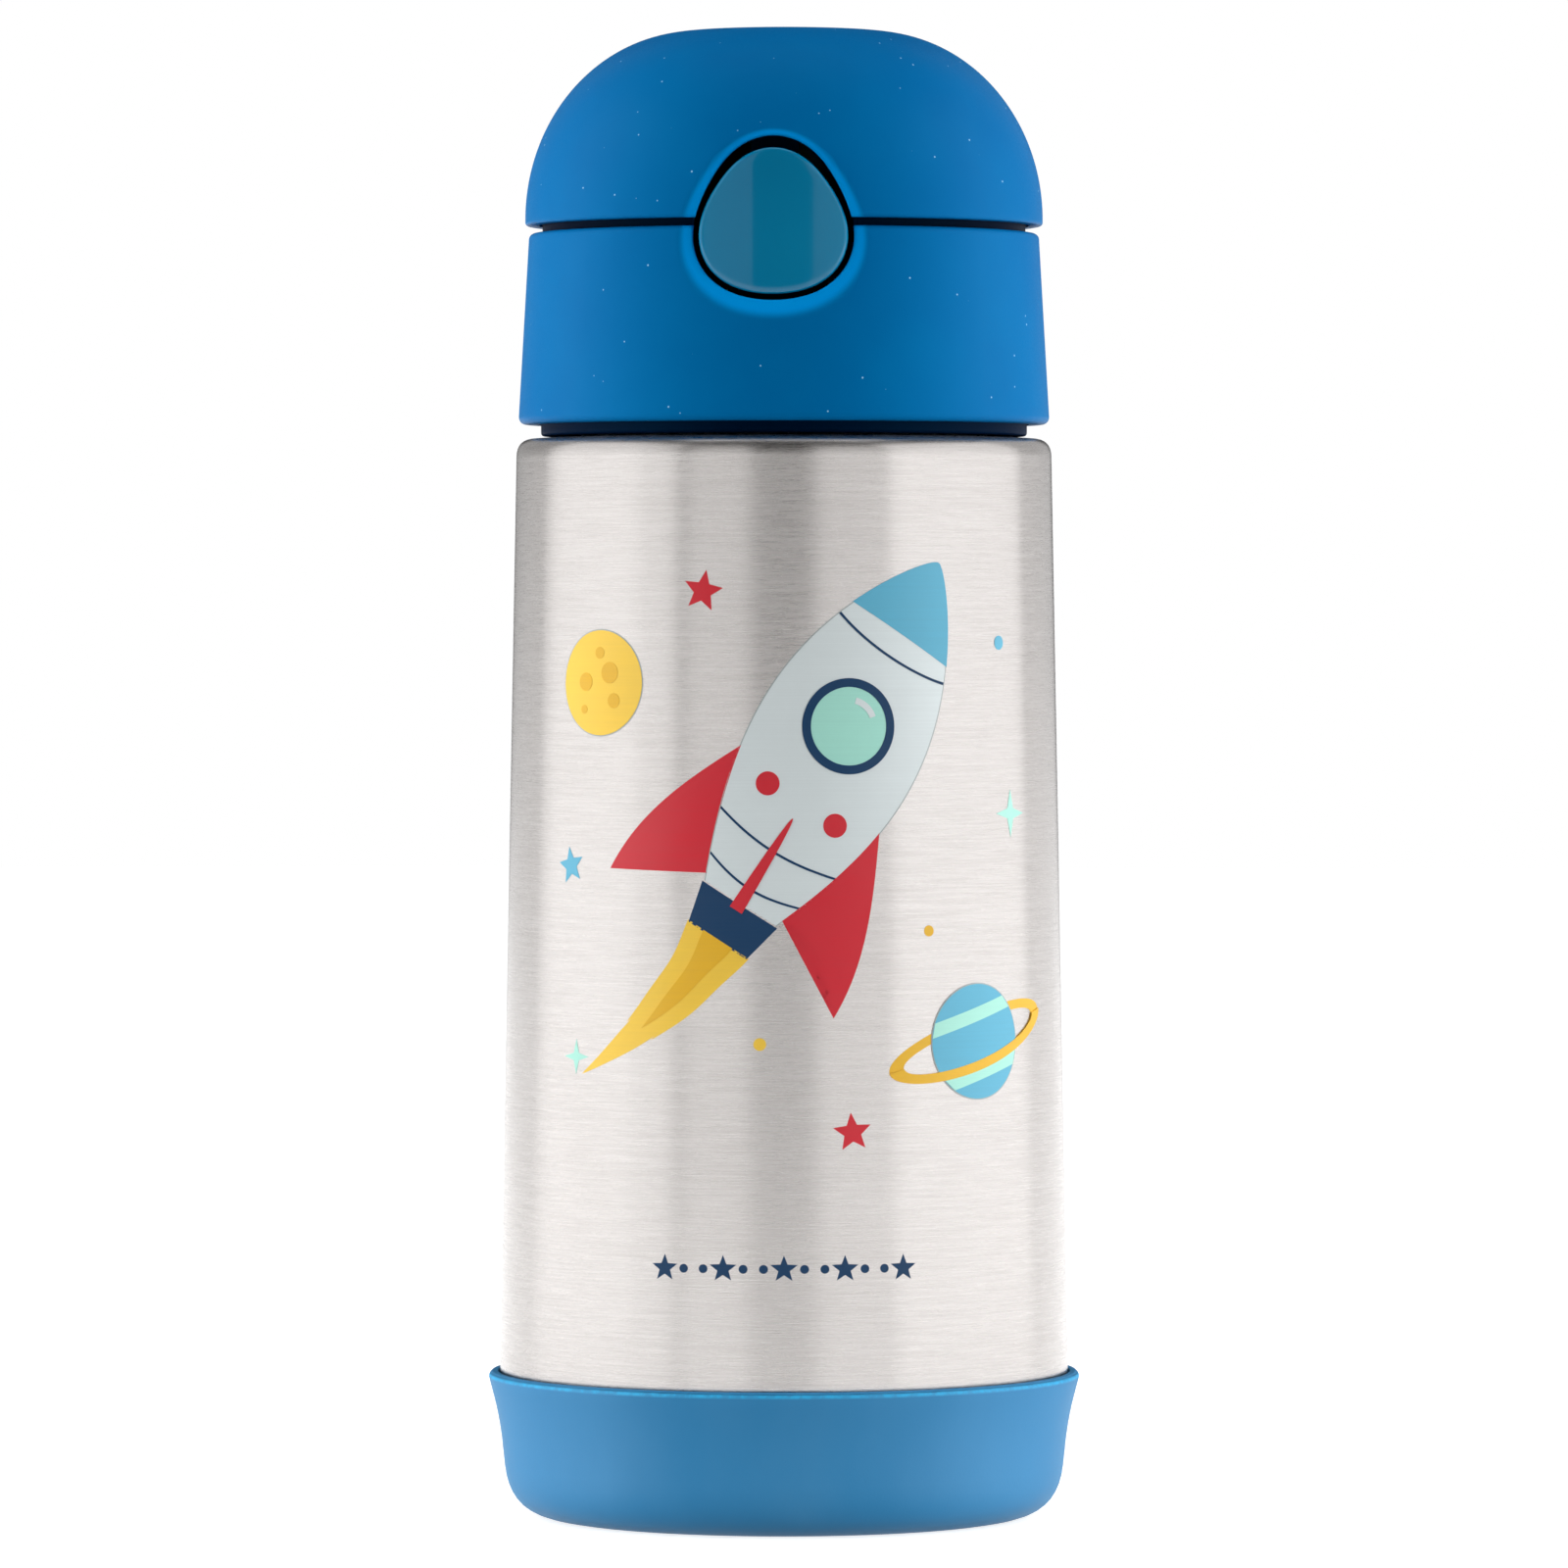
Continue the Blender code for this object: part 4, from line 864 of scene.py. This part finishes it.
# The soft mouthpiece: a sleeve below the deck, a flange on it, and a tapering spout
def mouthpiece():
    s, (low, high) = spout, (corner.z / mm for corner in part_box("mouthpiece"))
    foot, top = s["flangeFoot"], s["flangeTop"]
    line = roundedOutline([
        (s["sleeveBore"], low, 0.3), (s["sleeve"], low, 0.4), (s["sleeve"], foot, 0.1),
        (s["flange"], foot, 0.2), (s["flange"], top, 0.9), (s["side"], s["sideFoot"], 1.2),
        (s["tip"] + 0.1, high, 2.6), (s["bore"], high, 0.7), (s["bore"], top, 0.8),
        (s["sleeveBore"], foot, 0.5),
    ], 8)
    skin = revolve(refine(line, 1.5 * mm), 72, (0, s["back"]))
    milkySilicone.on(makePiece("mouthpieceSpout", [skin], "lid", ["mouthpiece"]))


valve = dict(top=155.1, under=152.3, rise=1.0, dome=2.3, cap=3.2, stem=1.0, barb=1.7, tip=0.5, tail=2.5)


# The vent's valve: a cap on the deck, a stem through its hole, and a barb that narrows below it
def ventValve():
    v, top, under = valve, valve["top"], valve["under"]
    line = roundedOutline([
        (0, top + v["rise"]), (v["dome"], top + v["rise"], 0.6), (v["cap"], top + 0.3, 0.2),
        (v["cap"], top, 0.1), (v["stem"], top, 0.1), (v["stem"], under, 0.1), (v["barb"], under, 0.2),
        (v["tip"], under - v["tail"], 0.3), (0, under - v["tail"]),
    ])
    skin = revolve(line, 56, insert["vent"], closed=False)
    whiteSilicone.on(makePiece("ventValve", [skin], "lid", ["vent_valve"]))


plate = dict(thickness=1.2, ringInside=6.3, ringOutside=7.3, ringSunk=0.5)


# The disc inside the cap, with a ring below it that holds the seal
def capPlate():
    low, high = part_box("cap_plate")
    radius, foot, top = high.x / mm, low.z / mm, high.z / mm
    under, ringTop = top - plate["thickness"], top - plate["ringSunk"]
    near, far = plate["ringInside"], plate["ringOutside"]
    line = roundedOutline([(0, under), (radius, under, 0.3), (radius, top, 0.3), (0, top)])
    made = makePiece("capPlate", [revolve(line, 120, closed=False)], None)
    ring = roundedOutline([(near, foot, 0.2), (far, foot, 0.3), (far, ringTop), (near, ringTop)], 3)
    shapeWith(made, [makePiece("ringTool", [revolve(ring, 72, (0, spout["back"]))], None)], "UNION")
    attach(made, "cap")
    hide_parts("cap_plate")
    whiteSilicone.on(made)


def spoutSeal():
    low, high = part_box("spout_seal")
    radius, foot, top = high.x / mm, low.z / mm, high.z / mm
    line = roundedOutline([(0, foot), (radius, foot, 1.0), (radius, top, 0.3), (0, top)])
    skin = revolve(line, 72, (0, spout["back"]), closed=False)
    milkySilicone.on(makePiece("spoutSeal", [skin], "cap", ["spout_seal"]))


def hingePin():
    h, reach = hinge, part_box("hinge_pin")[1].x / mm
    line = roundedOutline([(0, -reach), (h["pin"], -reach, 0.3), (h["pin"], reach, 0.3), (0, reach)], 4)
    skin = revolveX(line, (h["y"] * mm, h["z"] * mm), 40)
    brightSteel.on(makePiece("hingePin", [skin], "lid", ["hinge_pin"]))


# A coil's points: along runs evenly from start to end while the other two go round
def coil(start, end, radius, turns, steps=28):
    s = np.linspace(0.0, 1.0, turns * steps + 1)
    a = tau * turns * s
    return start + (end - start) * s, radius * np.cos(a), radius * np.sin(a)


springSizes = dict(
    hingeHalf=2.0, hingeRadius=1.75, hingeTurns=5, hingeWire=0.3, leg=6.0, legPoints=7,
    buttonGap=0.55, buttonLength=5.0, buttonRadius=1.6, buttonTurns=6, buttonWire=0.25, belowGuide=2.0,
)


# The hinge's spring is a coil about the pin with a leg up and a leg down; the button's is a plain coil
def springs():
    h, s = hinge, springSizes
    along, a, b = coil(-s["hingeHalf"], s["hingeHalf"], s["hingeRadius"], s["hingeTurns"])
    turns = np.stack([along, h["y"] - a, h["z"] - b], -1)
    leg = np.linspace(0.0, 1.0, s["legPoints"] + 1)[:, None]
    up = turns[0] + np.array([0, 0, s["leg"]]) * (1 - leg[:-1])
    down = turns[-1] - np.array([0, 0, s["leg"]]) * leg[1:]
    path = np.vstack([up, turns, down]) * mm
    legOut = np.tile([0.0, -1.0, 0.0], (s["legPoints"], 1))
    outward = np.vstack([legOut, np.stack([0 * a, -a, -b], -1), legOut])
    skin = sweepWire(path, outward, s["hingeWire"] * mm)
    brightSteel.on(makePiece("hingeSpring", [skin], "lid", ["hinge_spring"]))
    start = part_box("latch")[1].y / mm + s["buttonGap"]
    along, a, b = coil(start, start + s["buttonLength"], s["buttonRadius"], s["buttonTurns"])
    path = np.stack([a, along, insert["guideTop"] - s["belowGuide"] + b], -1) * mm
    skin = sweepWire(path, np.stack([a, 0 * a, b], -1), s["buttonWire"] * mm)
    brightSteel.on(makePiece("buttonSpring", [skin], "lid", ["button_spring"]))


threadedInsert()
mouthpiece()
ventValve()
capPlate()
spoutSeal()
hingePin()
springs()
print("inner parts made")


button = dict(face=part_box("button_face")[0].y / -mm, thickness=2.0, round=0.5)


# Rings of the outline from the middle out, over a quarter-round edge and back to the middle behind;
# each ring lies on a cylinder about the bottle's axis
def buttonFace():
    e, deep = button["round"], button["thickness"]
    face = np.linspace(0.0, 1.0, 12)
    turn = np.linspace(0.0, math.pi / 2, 7)[1:]
    grow = np.concatenate([np.full(12, -e), -e + e * np.sin(turn), [0.0], np.full(4, 0.0)])
    share = np.concatenate([face, np.ones(7), [0.75, 0.5, 0.25, 0.0]])
    inwards = np.concatenate([np.zeros(12), e * (1 - np.cos(turn)), np.full(5, deep)])
    t = (np.arange(144) * tau / 144)[:, None]
    r = outlineRadius(t, grow[None, :]) * share
    x, z = r * np.cos(t), well["z"] * mm + r * np.sin(t)
    y = -np.sqrt((button["face"] * mm) ** 2 - x**2) + inwards * mm
    skin = (np.stack([x, y, z], -1).reshape(-1, 3), gridFaces(len(t), len(share), True, False))
    buttonTeal.on(makePiece("buttonFace", [skin], "button", ["button_face"]))


buttonFace()
print("button made")


# Keeps a CAD node as it is and gives it a finish, and rounds its edges where it can be seen
def keepNode(node, finish, edge=0.0):
    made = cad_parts[node]
    finish.on(made)
    if edge:
        made.modifiers.new("joined", "WELD").merge_threshold = 0.001 * mm
        soft = made.modifiers.new("edges", "BEVEL")
        soft.width, soft.segments, soft.angle_limit = edge * mm, 3, math.radians(40)


keepNode("latch", gapShadeBlue, 0.25)
keepNode("neck_gasket", whiteSilicone)
keepNode("straw", clearPlastic)
for node in ("inner_vessel", "base_plate", "vacuum_seal", "vacuum_getter"):
    keepNode(node, brightSteel)
print("CAD pieces finished")


ink = dict(
    white=(0.62, 0.68, 0.69), red=(0.56, 0.022, 0.035), navy=(0.003, 0.036, 0.10),
    blue=(0.095, 0.38, 0.54), mint=(0.34, 0.68, 0.58), yellow=(0.80, 0.52, 0.055),
    gold=(0.70, 0.40, 0.02), grey=(0.36, 0.40, 0.40),
)
printPlace = dict(turn=math.radians(2.5), radius=35.3, layer=0.03, sunk=0.03)
rocket = dict(
    tip=(21.0, 122.0), slope=math.radians(-122), length=50.0, full=62.0, half=11.0, skew=0.8, nose=10.5,
    bands=(12.4, 41.0, 46.5), line=0.32, bow=1.2, edge=0.17, noseEdge=0.2,
    window=24.0, glass=5.0, frame=(6.0, 4.9), glint=(3.7, 2.9), porthole=35.5, portholeSize=1.5, apart=5.0,
    finStart=33.0, finEnd=49.0, finWide=17.5, finTip=56.0, heel=2.2, middleFin=0.9,
    nozzle=5.5, nozzleHalf=5.6, nozzleTaper=1.2, flame=25.0, bend=-0.012,
)
# name, half width, share of the flame's length, place across, layer
tongues = (
    ("yellow", 4.2, 1.0, 0.0, 1), ("yellow", 2.0, 0.62, 2.6, 1), ("yellow", 2.0, 0.62, -2.6, 1),
    ("gold", 2.2, 0.6, 0.0, 2),
)
patches = {name: [] for name in ink}


# A flat place (across, up) laid on the tapered body and lifted off it: the angle is across / radius
def wrapOn(place, lift):
    angle = place[..., 0] / printPlace["radius"] + printPlace["turn"]
    r = bodyRadius(place[..., 1]) + lift
    return np.stack([r * np.sin(angle), -r * np.cos(angle), place[..., 1]], -1) * mm


# Ink between two curves of as many points: straight lines join them, a second skin lies a little inside
# the steel, and where the curves don't close on themselves the two skins meet at the ends.
def lay(name, a, b, layer=1, closed=False, step=1.5):
    a, b = np.broadcast_arrays(np.atleast_2d(a), np.atleast_2d(b))
    span = np.linalg.norm(b - a, axis=1).max()
    s = np.linspace(0.0, 1.0, int(span / step) + 2)[None, :, None]
    flat = a[:, None] * (1 - s) + b[:, None] * s
    top = wrapOn(flat, printPlace["layer"] * layer)
    under = wrapOn(flat[:, ::-1], -printPlace["sunk"])
    rows = np.concatenate([top, under], 1)
    if not closed:
        middle = (top + under[:, ::-1]) / 2
        ends = np.concatenate([middle, middle[:, ::-1]], 1)
        rows = np.concatenate([ends[:1], rows, ends[-1:]])
    patches[name].append((rows.reshape(-1, 3), gridFaces(*rows.shape[:2], closed, True)))


# Places (x, y) turned by a tilt in degrees and moved to a centre
def turnedTo(centre, x, y, tilt):
    c, s = math.cos(math.radians(tilt)), math.sin(math.radians(tilt))
    return np.stack([centre[0] + x * c - y * s, centre[1] + x * s + y * c], -1)


# A circle, or the arc of one between two turns in degrees, squashed before it is tilted
def circle(centre, radius, points, squash=1.0, tilt=0.0, start=0.0, end=360.0):
    t = np.radians(np.linspace(start, end, points + 1)[: points + (end - start < 360)])
    return turnedTo(centre, radius * np.cos(t), radius * squash * np.sin(t), tilt)


def dot(name, centre, radius, layer=1, points=40):
    lay(name, [centre], circle(centre, radius, points), layer, True)


# A star's outline: its corners lie by turns on two circles, and its sides are straight
def star(name, centre, radius, arms=5, inner=0.42, turn=90.0, perSide=4):
    a = np.radians(turn + np.arange(2 * arms + 1) * 180 / arms)
    r = np.where(np.arange(2 * arms + 1) % 2, inner * radius, radius)
    corners = np.stack([centre[0] + r * np.cos(a), centre[1] + r * np.sin(a)], -1)
    outline = refine(corners[:-1], np.linalg.norm(corners[1] - corners[0]) / perSide + 1e-6)
    lay(name, [centre], outline, 1, True)


# Places on the rocket: s along it from the tip, w across it
def onRocket(s, w):
    s, w = np.broadcast_arrays(np.asarray(s, float), np.asarray(w, float))
    c, d = math.cos(rocket["slope"]), math.sin(rocket["slope"])
    return np.stack([rocket["tip"][0] + s * c - w * d, rocket["tip"][1] + s * d + w * c], -1)


# Half the hull's width: half sin(pi (s / full) ^ skew), pointed at the tip and widest near the middle
def hullHalf(s):
    return rocket["half"] * np.sin(math.pi * (np.asarray(s) / rocket["full"]) ** rocket["skew"])


# Ink on both sides of the rocket's middle, out to a half width at each place along it
def across(name, s, half, layer):
    lay(name, onRocket(s, half), onRocket(s, -half), layer)


# The hull over a grey edge, its nose, its bowed bands, a round window with a glint, and two portholes
def drawRocket():
    d = rocket
    s = np.linspace(0.0, 1.0, 70) ** 1.15 * d["length"]
    across("grey", s, hullHalf(s) + d["edge"], 1)
    across("white", s, hullHalf(s), 2)
    nose = np.linspace(0.0, 1.0, 24) * d["nose"]
    across("blue", nose, hullHalf(nose) + d["noseEdge"], 3)
    w = np.linspace(-1.0, 1.0, 33)
    for start in d["bands"]:
        front, back = (edge + d["bow"] * (1 - w**2) for edge in (start, start + d["line"]))
        lay("navy", onRocket(front, w * hullHalf(front)), onRocket(back, w * hullHalf(back)), 3)
    window = onRocket(d["window"], 0.0)
    dot("mint", window, d["glass"], 3, 64)
    lay("navy", *(circle(window, r, 72) for r in d["frame"]), 4, True)
    lay("white", *(circle(window, r, 24, start=20, end=75) for r in d["glint"]), 4)
    for side in (-1, 1):
        dot("red", onRocket(d["porthole"], d["apart"] * side), d["portholeSize"], 3)


# A fin grows from the hull's side: its front edge sweeps out in a quarter wave to the tip, and its rear
# edge comes straight back, with a thin crescent of more ink along it. A third fin is seen edge on.
def drawFins():
    d, q = rocket, np.linspace(0.0, 1.0, 36)
    for side in (-1, 1):
        rootS = d["finStart"] + q * (d["finEnd"] - d["finStart"])
        rootW = hullHalf(rootS) - 0.15
        sweepS = d["finStart"] + (d["finTip"] - d["finStart"]) * q
        sweepW = rootW[0] + (d["finWide"] - rootW[0]) * np.sin(q * math.pi / 2)
        lay("red", onRocket(rootS, side * rootW), onRocket(sweepS, side * sweepW), 1)
        heelS = d["finEnd"] + (d["finTip"] - d["finEnd"]) * q
        heelW = rootW[-1] + (d["finWide"] - rootW[-1]) * q
        heelEnd = heelS - d["heel"] * np.sin(q * math.pi)
        lay("red", onRocket(heelS, side * heelW), onRocket(heelEnd, side * heelW), 1)
    ridgeS = d["porthole"] + 2.0 + q * (d["length"] - d["porthole"] - 1.0)
    across("red", ridgeS, d["middleFin"] * q**0.5, 4)


# The nozzle narrows evenly; each flame is a tongue that bends sideways with the square of its length
def drawNozzle():
    d, q = rocket, np.linspace(0.0, 1.0, 12)
    start, end = d["length"] + 0.2, d["length"] + d["nozzle"]
    across("navy", start + (end - start) * q, d["nozzleHalf"] - d["nozzleTaper"] * q, 1)
    f = np.linspace(0.0, 1.0, 40)
    for name, width, share, shift, layer in tongues:
        reach = share * d["flame"]
        centre = shift * (1 - 0.2 * f) + d["bend"] * (reach * f) ** 2
        half = width * (1 - f) ** 0.8 * (0.9 + 0.1 * np.cos(9 * f))
        along = end - 0.2 + reach * f
        lay(name, onRocket(along, centre + half), onRocket(along, centre - half), layer)


sky = dict(
    edge=0.15, planet=(26.5, 62.0), planetSize=7.2, tilt=16, ringOuter=(1.9, 0.26), ringInner=(1.62, 0.2),
    stripes=((0.34, 0.58), (-0.66, -0.42)), moon=(-25.5, 107.0), moonSize=6.6, craters=5,
    row=34.0, rowHalf=15.0, rowCount=13, rowStar=1.75, rowDot=0.55,
)
# name, place, size, arms, inner share, turn
stars = (
    ("red", (-10.5, 118.5), 2.7, 5, 0.45, 80), ("blue", (-30.5, 84.0), 2.4, 5, 0.45, 100),
    ("mint", (33.5, 90.5), 3.0, 4, 0.3, 90), ("red", (8.5, 51.0), 2.5, 5, 0.45, 95),
    ("mint", (-29.0, 60.0), 2.2, 4, 0.3, 90),
)
dots = (("yellow", (-3.0, 62.0), 0.8), ("blue", (31.5, 112.0), 0.9), ("gold", (19.0, 76.0), 0.7))


# A ball with two stripes and a tilted ring, whose far half is laid under the ball and near half over it
def drawPlanet():
    centre, r, tilt = sky["planet"], sky["planetSize"], sky["tilt"]
    for layer, start, end in ((1, 0, 180), (6, 180, 360)):
        rings = (circle(centre, r * k, 56, squash, tilt, start, end)
                 for k, squash in (sky["ringOuter"], sky["ringInner"]))
        lay("gold", *rings, layer)
    dot("grey", centre, r + sky["edge"], 3, 72)
    dot("blue", centre, r, 4, 72)
    x = np.linspace(-1.0, 1.0, 40)
    for levels in sky["stripes"]:
        heights = [np.full(40, level * r) for level in levels]
        lay("mint", *(turnedTo(centre, x * np.sqrt(r**2 - y**2) * 0.998, y, tilt) for y in heights), 5)


def drawSky():
    drawPlanet()
    moon, r = sky["moon"], sky["moonSize"]
    dot("grey", moon, r + sky["edge"], 1, 60)
    dot("yellow", moon, r, 2, 60)
    # craters at even turns of a spiral, in falling sizes
    for i in range(sky["craters"]):
        turn, out = math.radians(40 + 137.5 * i), r * (0.30 + 0.09 * i)
        place = (moon[0] + out * math.cos(turn), moon[1] + out * math.sin(turn))
        dot("gold", place, 1.35 - 0.2 * i, 3, 24)
    for values in stars:
        star(*values)
    for values in dots:
        dot(*values, points=24)
    # a row of small stars and dots along the foot
    for i, x in enumerate(np.linspace(-sky["rowHalf"], sky["rowHalf"], sky["rowCount"])):
        if i % 3 == 0:
            star("navy", (x, sky["row"]), sky["rowStar"])
        else:
            dot("navy", (x, sky["row"]), sky["rowDot"], points=24)


drawRocket()
drawFins()
drawNozzle()
drawSky()
for name, skins in patches.items():
    made = makePiece("print" + name.capitalize(), skins, "bottle", sharp=60.0)
    inkFinish("ink" + name.capitalize(), ink[name]).on(made)
print("picture laid on")


studio = dict(
    floorReach=3.0, nearGlow=0.78, farGlow=1.0, glowFrom=0.12, glowTo=0.7, paper=(0.5, 0.5, 0.5),
    worldGloss=0.05, worldSoft=0.12, cameraTurn=2.5, distance=1.25, lens=224.0, eye=0.1175, aim=0.0938,
)

# name: degrees from the camera's side at its middle, degrees wide, distance, middle height, tallness,
# brightness
glossBoxes = dict(
    leftPanel=(-27.5, 27, 1.2, 0.30, 1.2, 0.47), rightPanel=(27.5, 29, 1.2, 0.30, 1.2, 0.50),
    leftBox=(-84, 76, 0.8, 0.30, 1.3, 0.68), leftCore=(-89, 50, 0.7, 0.30, 1.3, 0.22),
    rightBox=(82, 76, 0.8, 0.30, 1.3, 0.90),
    leftBack=(-145, 42, 0.9, 0.30, 1.3, 0.30), rightBack=(143, 42, 0.9, 0.30, 1.3, 0.42),
)
softBoxes = dict(leftWash=(-86, 72, 0.75, 0.28, 1.3, 3.7), rightWash=(84, 72, 0.75, 0.28, 1.3, 3.7))
footLight = dict(away=0.16, height=0.02, aim=(0.0, 0.0, 0.01), size=(0.24, 0.03), brightness=3.0)
topBox = dict(place=(0.0, 0.05, 1.1), aim=(0.0, 0.0, 0.1), size=(0.9, 0.7), brightness=0.8)


def onRing(degrees, distance, height):
    a = math.radians(degrees + studio["cameraTurn"])
    return (distance * math.sin(a), -distance * math.cos(a), height)


# The floor is a sheet of paper that isn't part of the bottle; it glows more with distance from the bottle
def paperFloor():
    mesh = bpy.data.meshes.new("floor")
    far = studio["floorReach"]
    mesh.from_pydata([(-far, -far, 0), (far, -far, 0), (far, far, 0), (-far, far, 0)], [], [(0, 1, 2, 3)])
    made = bpy.data.objects.new("floor", mesh)
    bpy.context.scene.collection.objects.link(made)
    made.visible_diffuse = False
    paper = Finish("palePaper", 0.9, 0.0, Emission_Color=(1.0, 1.0, 1.0, 1.0))
    paler = tuple(c + 0.02 for c in studio["paper"])
    paper.colour(paper.blend(paper.noise(900, 3.0), studio["paper"], paler))
    away = paper.add("ShaderNodeVectorMath", operation="LENGTH")
    paper.link(paper.place, away.inputs[0])
    ends = (studio[key] for key in ("nearGlow", "farGlow", "glowFrom", "glowTo"))
    glow = paper.ranged(away.outputs["Value"], *ends)
    paper.link(glow, paper.shader.inputs["Emission Strength"])
    paper.on(made)


# An area light facing the bottle's axis; its power follows from its size and the brightness it should show
def lamp(name, place, aim, size, brightness, gloss, soft):
    light = bpy.data.lights.new(name, "AREA")
    light.shape, light.size, light.size_y = "RECTANGLE", size[0], size[1]
    light.energy = brightness * math.pi * size[0] * size[1]
    made = bpy.data.objects.new(name, light)
    made.location = place
    made.rotation_euler = (Vector(aim) - Vector(place)).to_track_quat("-Z", "Y").to_euler()
    made.visible_glossy, made.visible_diffuse = gloss, soft
    bpy.context.scene.collection.objects.link(made)


paperFloor()
for boxes, gloss in ((glossBoxes, True), (softBoxes, False)):
    for name, (turn, spread, away, height, tall, brightness) in boxes.items():
        wide = 2 * away * math.tan(math.radians(spread / 2))
        place, aim = onRing(turn, away, height), (0.0, 0.0, height)
        lamp(name, place, aim, (wide, tall), brightness, gloss, not gloss)
place = onRing(0.0, footLight["away"], footLight["height"])
lamp("footLight", place, footLight["aim"], footLight["size"], footLight["brightness"], False, True)
lamp("topBox", topBox["place"], topBox["aim"], topBox["size"], topBox["brightness"], True, True)


# The world is white where the camera sees it, and has its own strength in reflections and in soft light
def studioWorld():
    world = bpy.data.worlds.new("studioWorld")
    bpy.context.scene.world = world
    world.use_nodes = True
    nodes, links = world.node_tree.nodes, world.node_tree.links
    around = nodes["Background"]
    around.inputs["Color"].default_value = (1.0, 1.0, 1.0, 1.0)
    ray = nodes.new("ShaderNodeLightPath")
    choose = nodes.new("ShaderNodeMapRange")
    choose.inputs["To Min"].default_value = studio["worldSoft"]
    choose.inputs["To Max"].default_value = studio["worldGloss"]
    links.new(ray.outputs["Is Glossy Ray"], choose.inputs["Value"])
    seen = nodes.new("ShaderNodeMath")
    seen.operation = "MAXIMUM"
    links.new(choose.outputs["Result"], seen.inputs[0])
    links.new(ray.outputs["Is Camera Ray"], seen.inputs[1])
    links.new(seen.outputs["Value"], around.inputs["Strength"])


studioWorld()
bpy.context.scene.view_settings.view_transform = "Standard"

camera = bpy.data.cameras.new("camera")
camera.lens, camera.sensor_width, camera.clip_end = studio["lens"], 36.0, 20.0
cameraObject = bpy.data.objects.new("camera", camera)
place = Vector(onRing(0.0, studio["distance"], studio["eye"]))
cameraObject.location = place
cameraObject.rotation_euler = (Vector((0.0, 0.0, studio["aim"])) - place).to_track_quat("-Z", "Y").to_euler()
bpy.context.scene.collection.objects.link(cameraObject)
bpy.context.scene.camera = cameraObject
print("studio made")
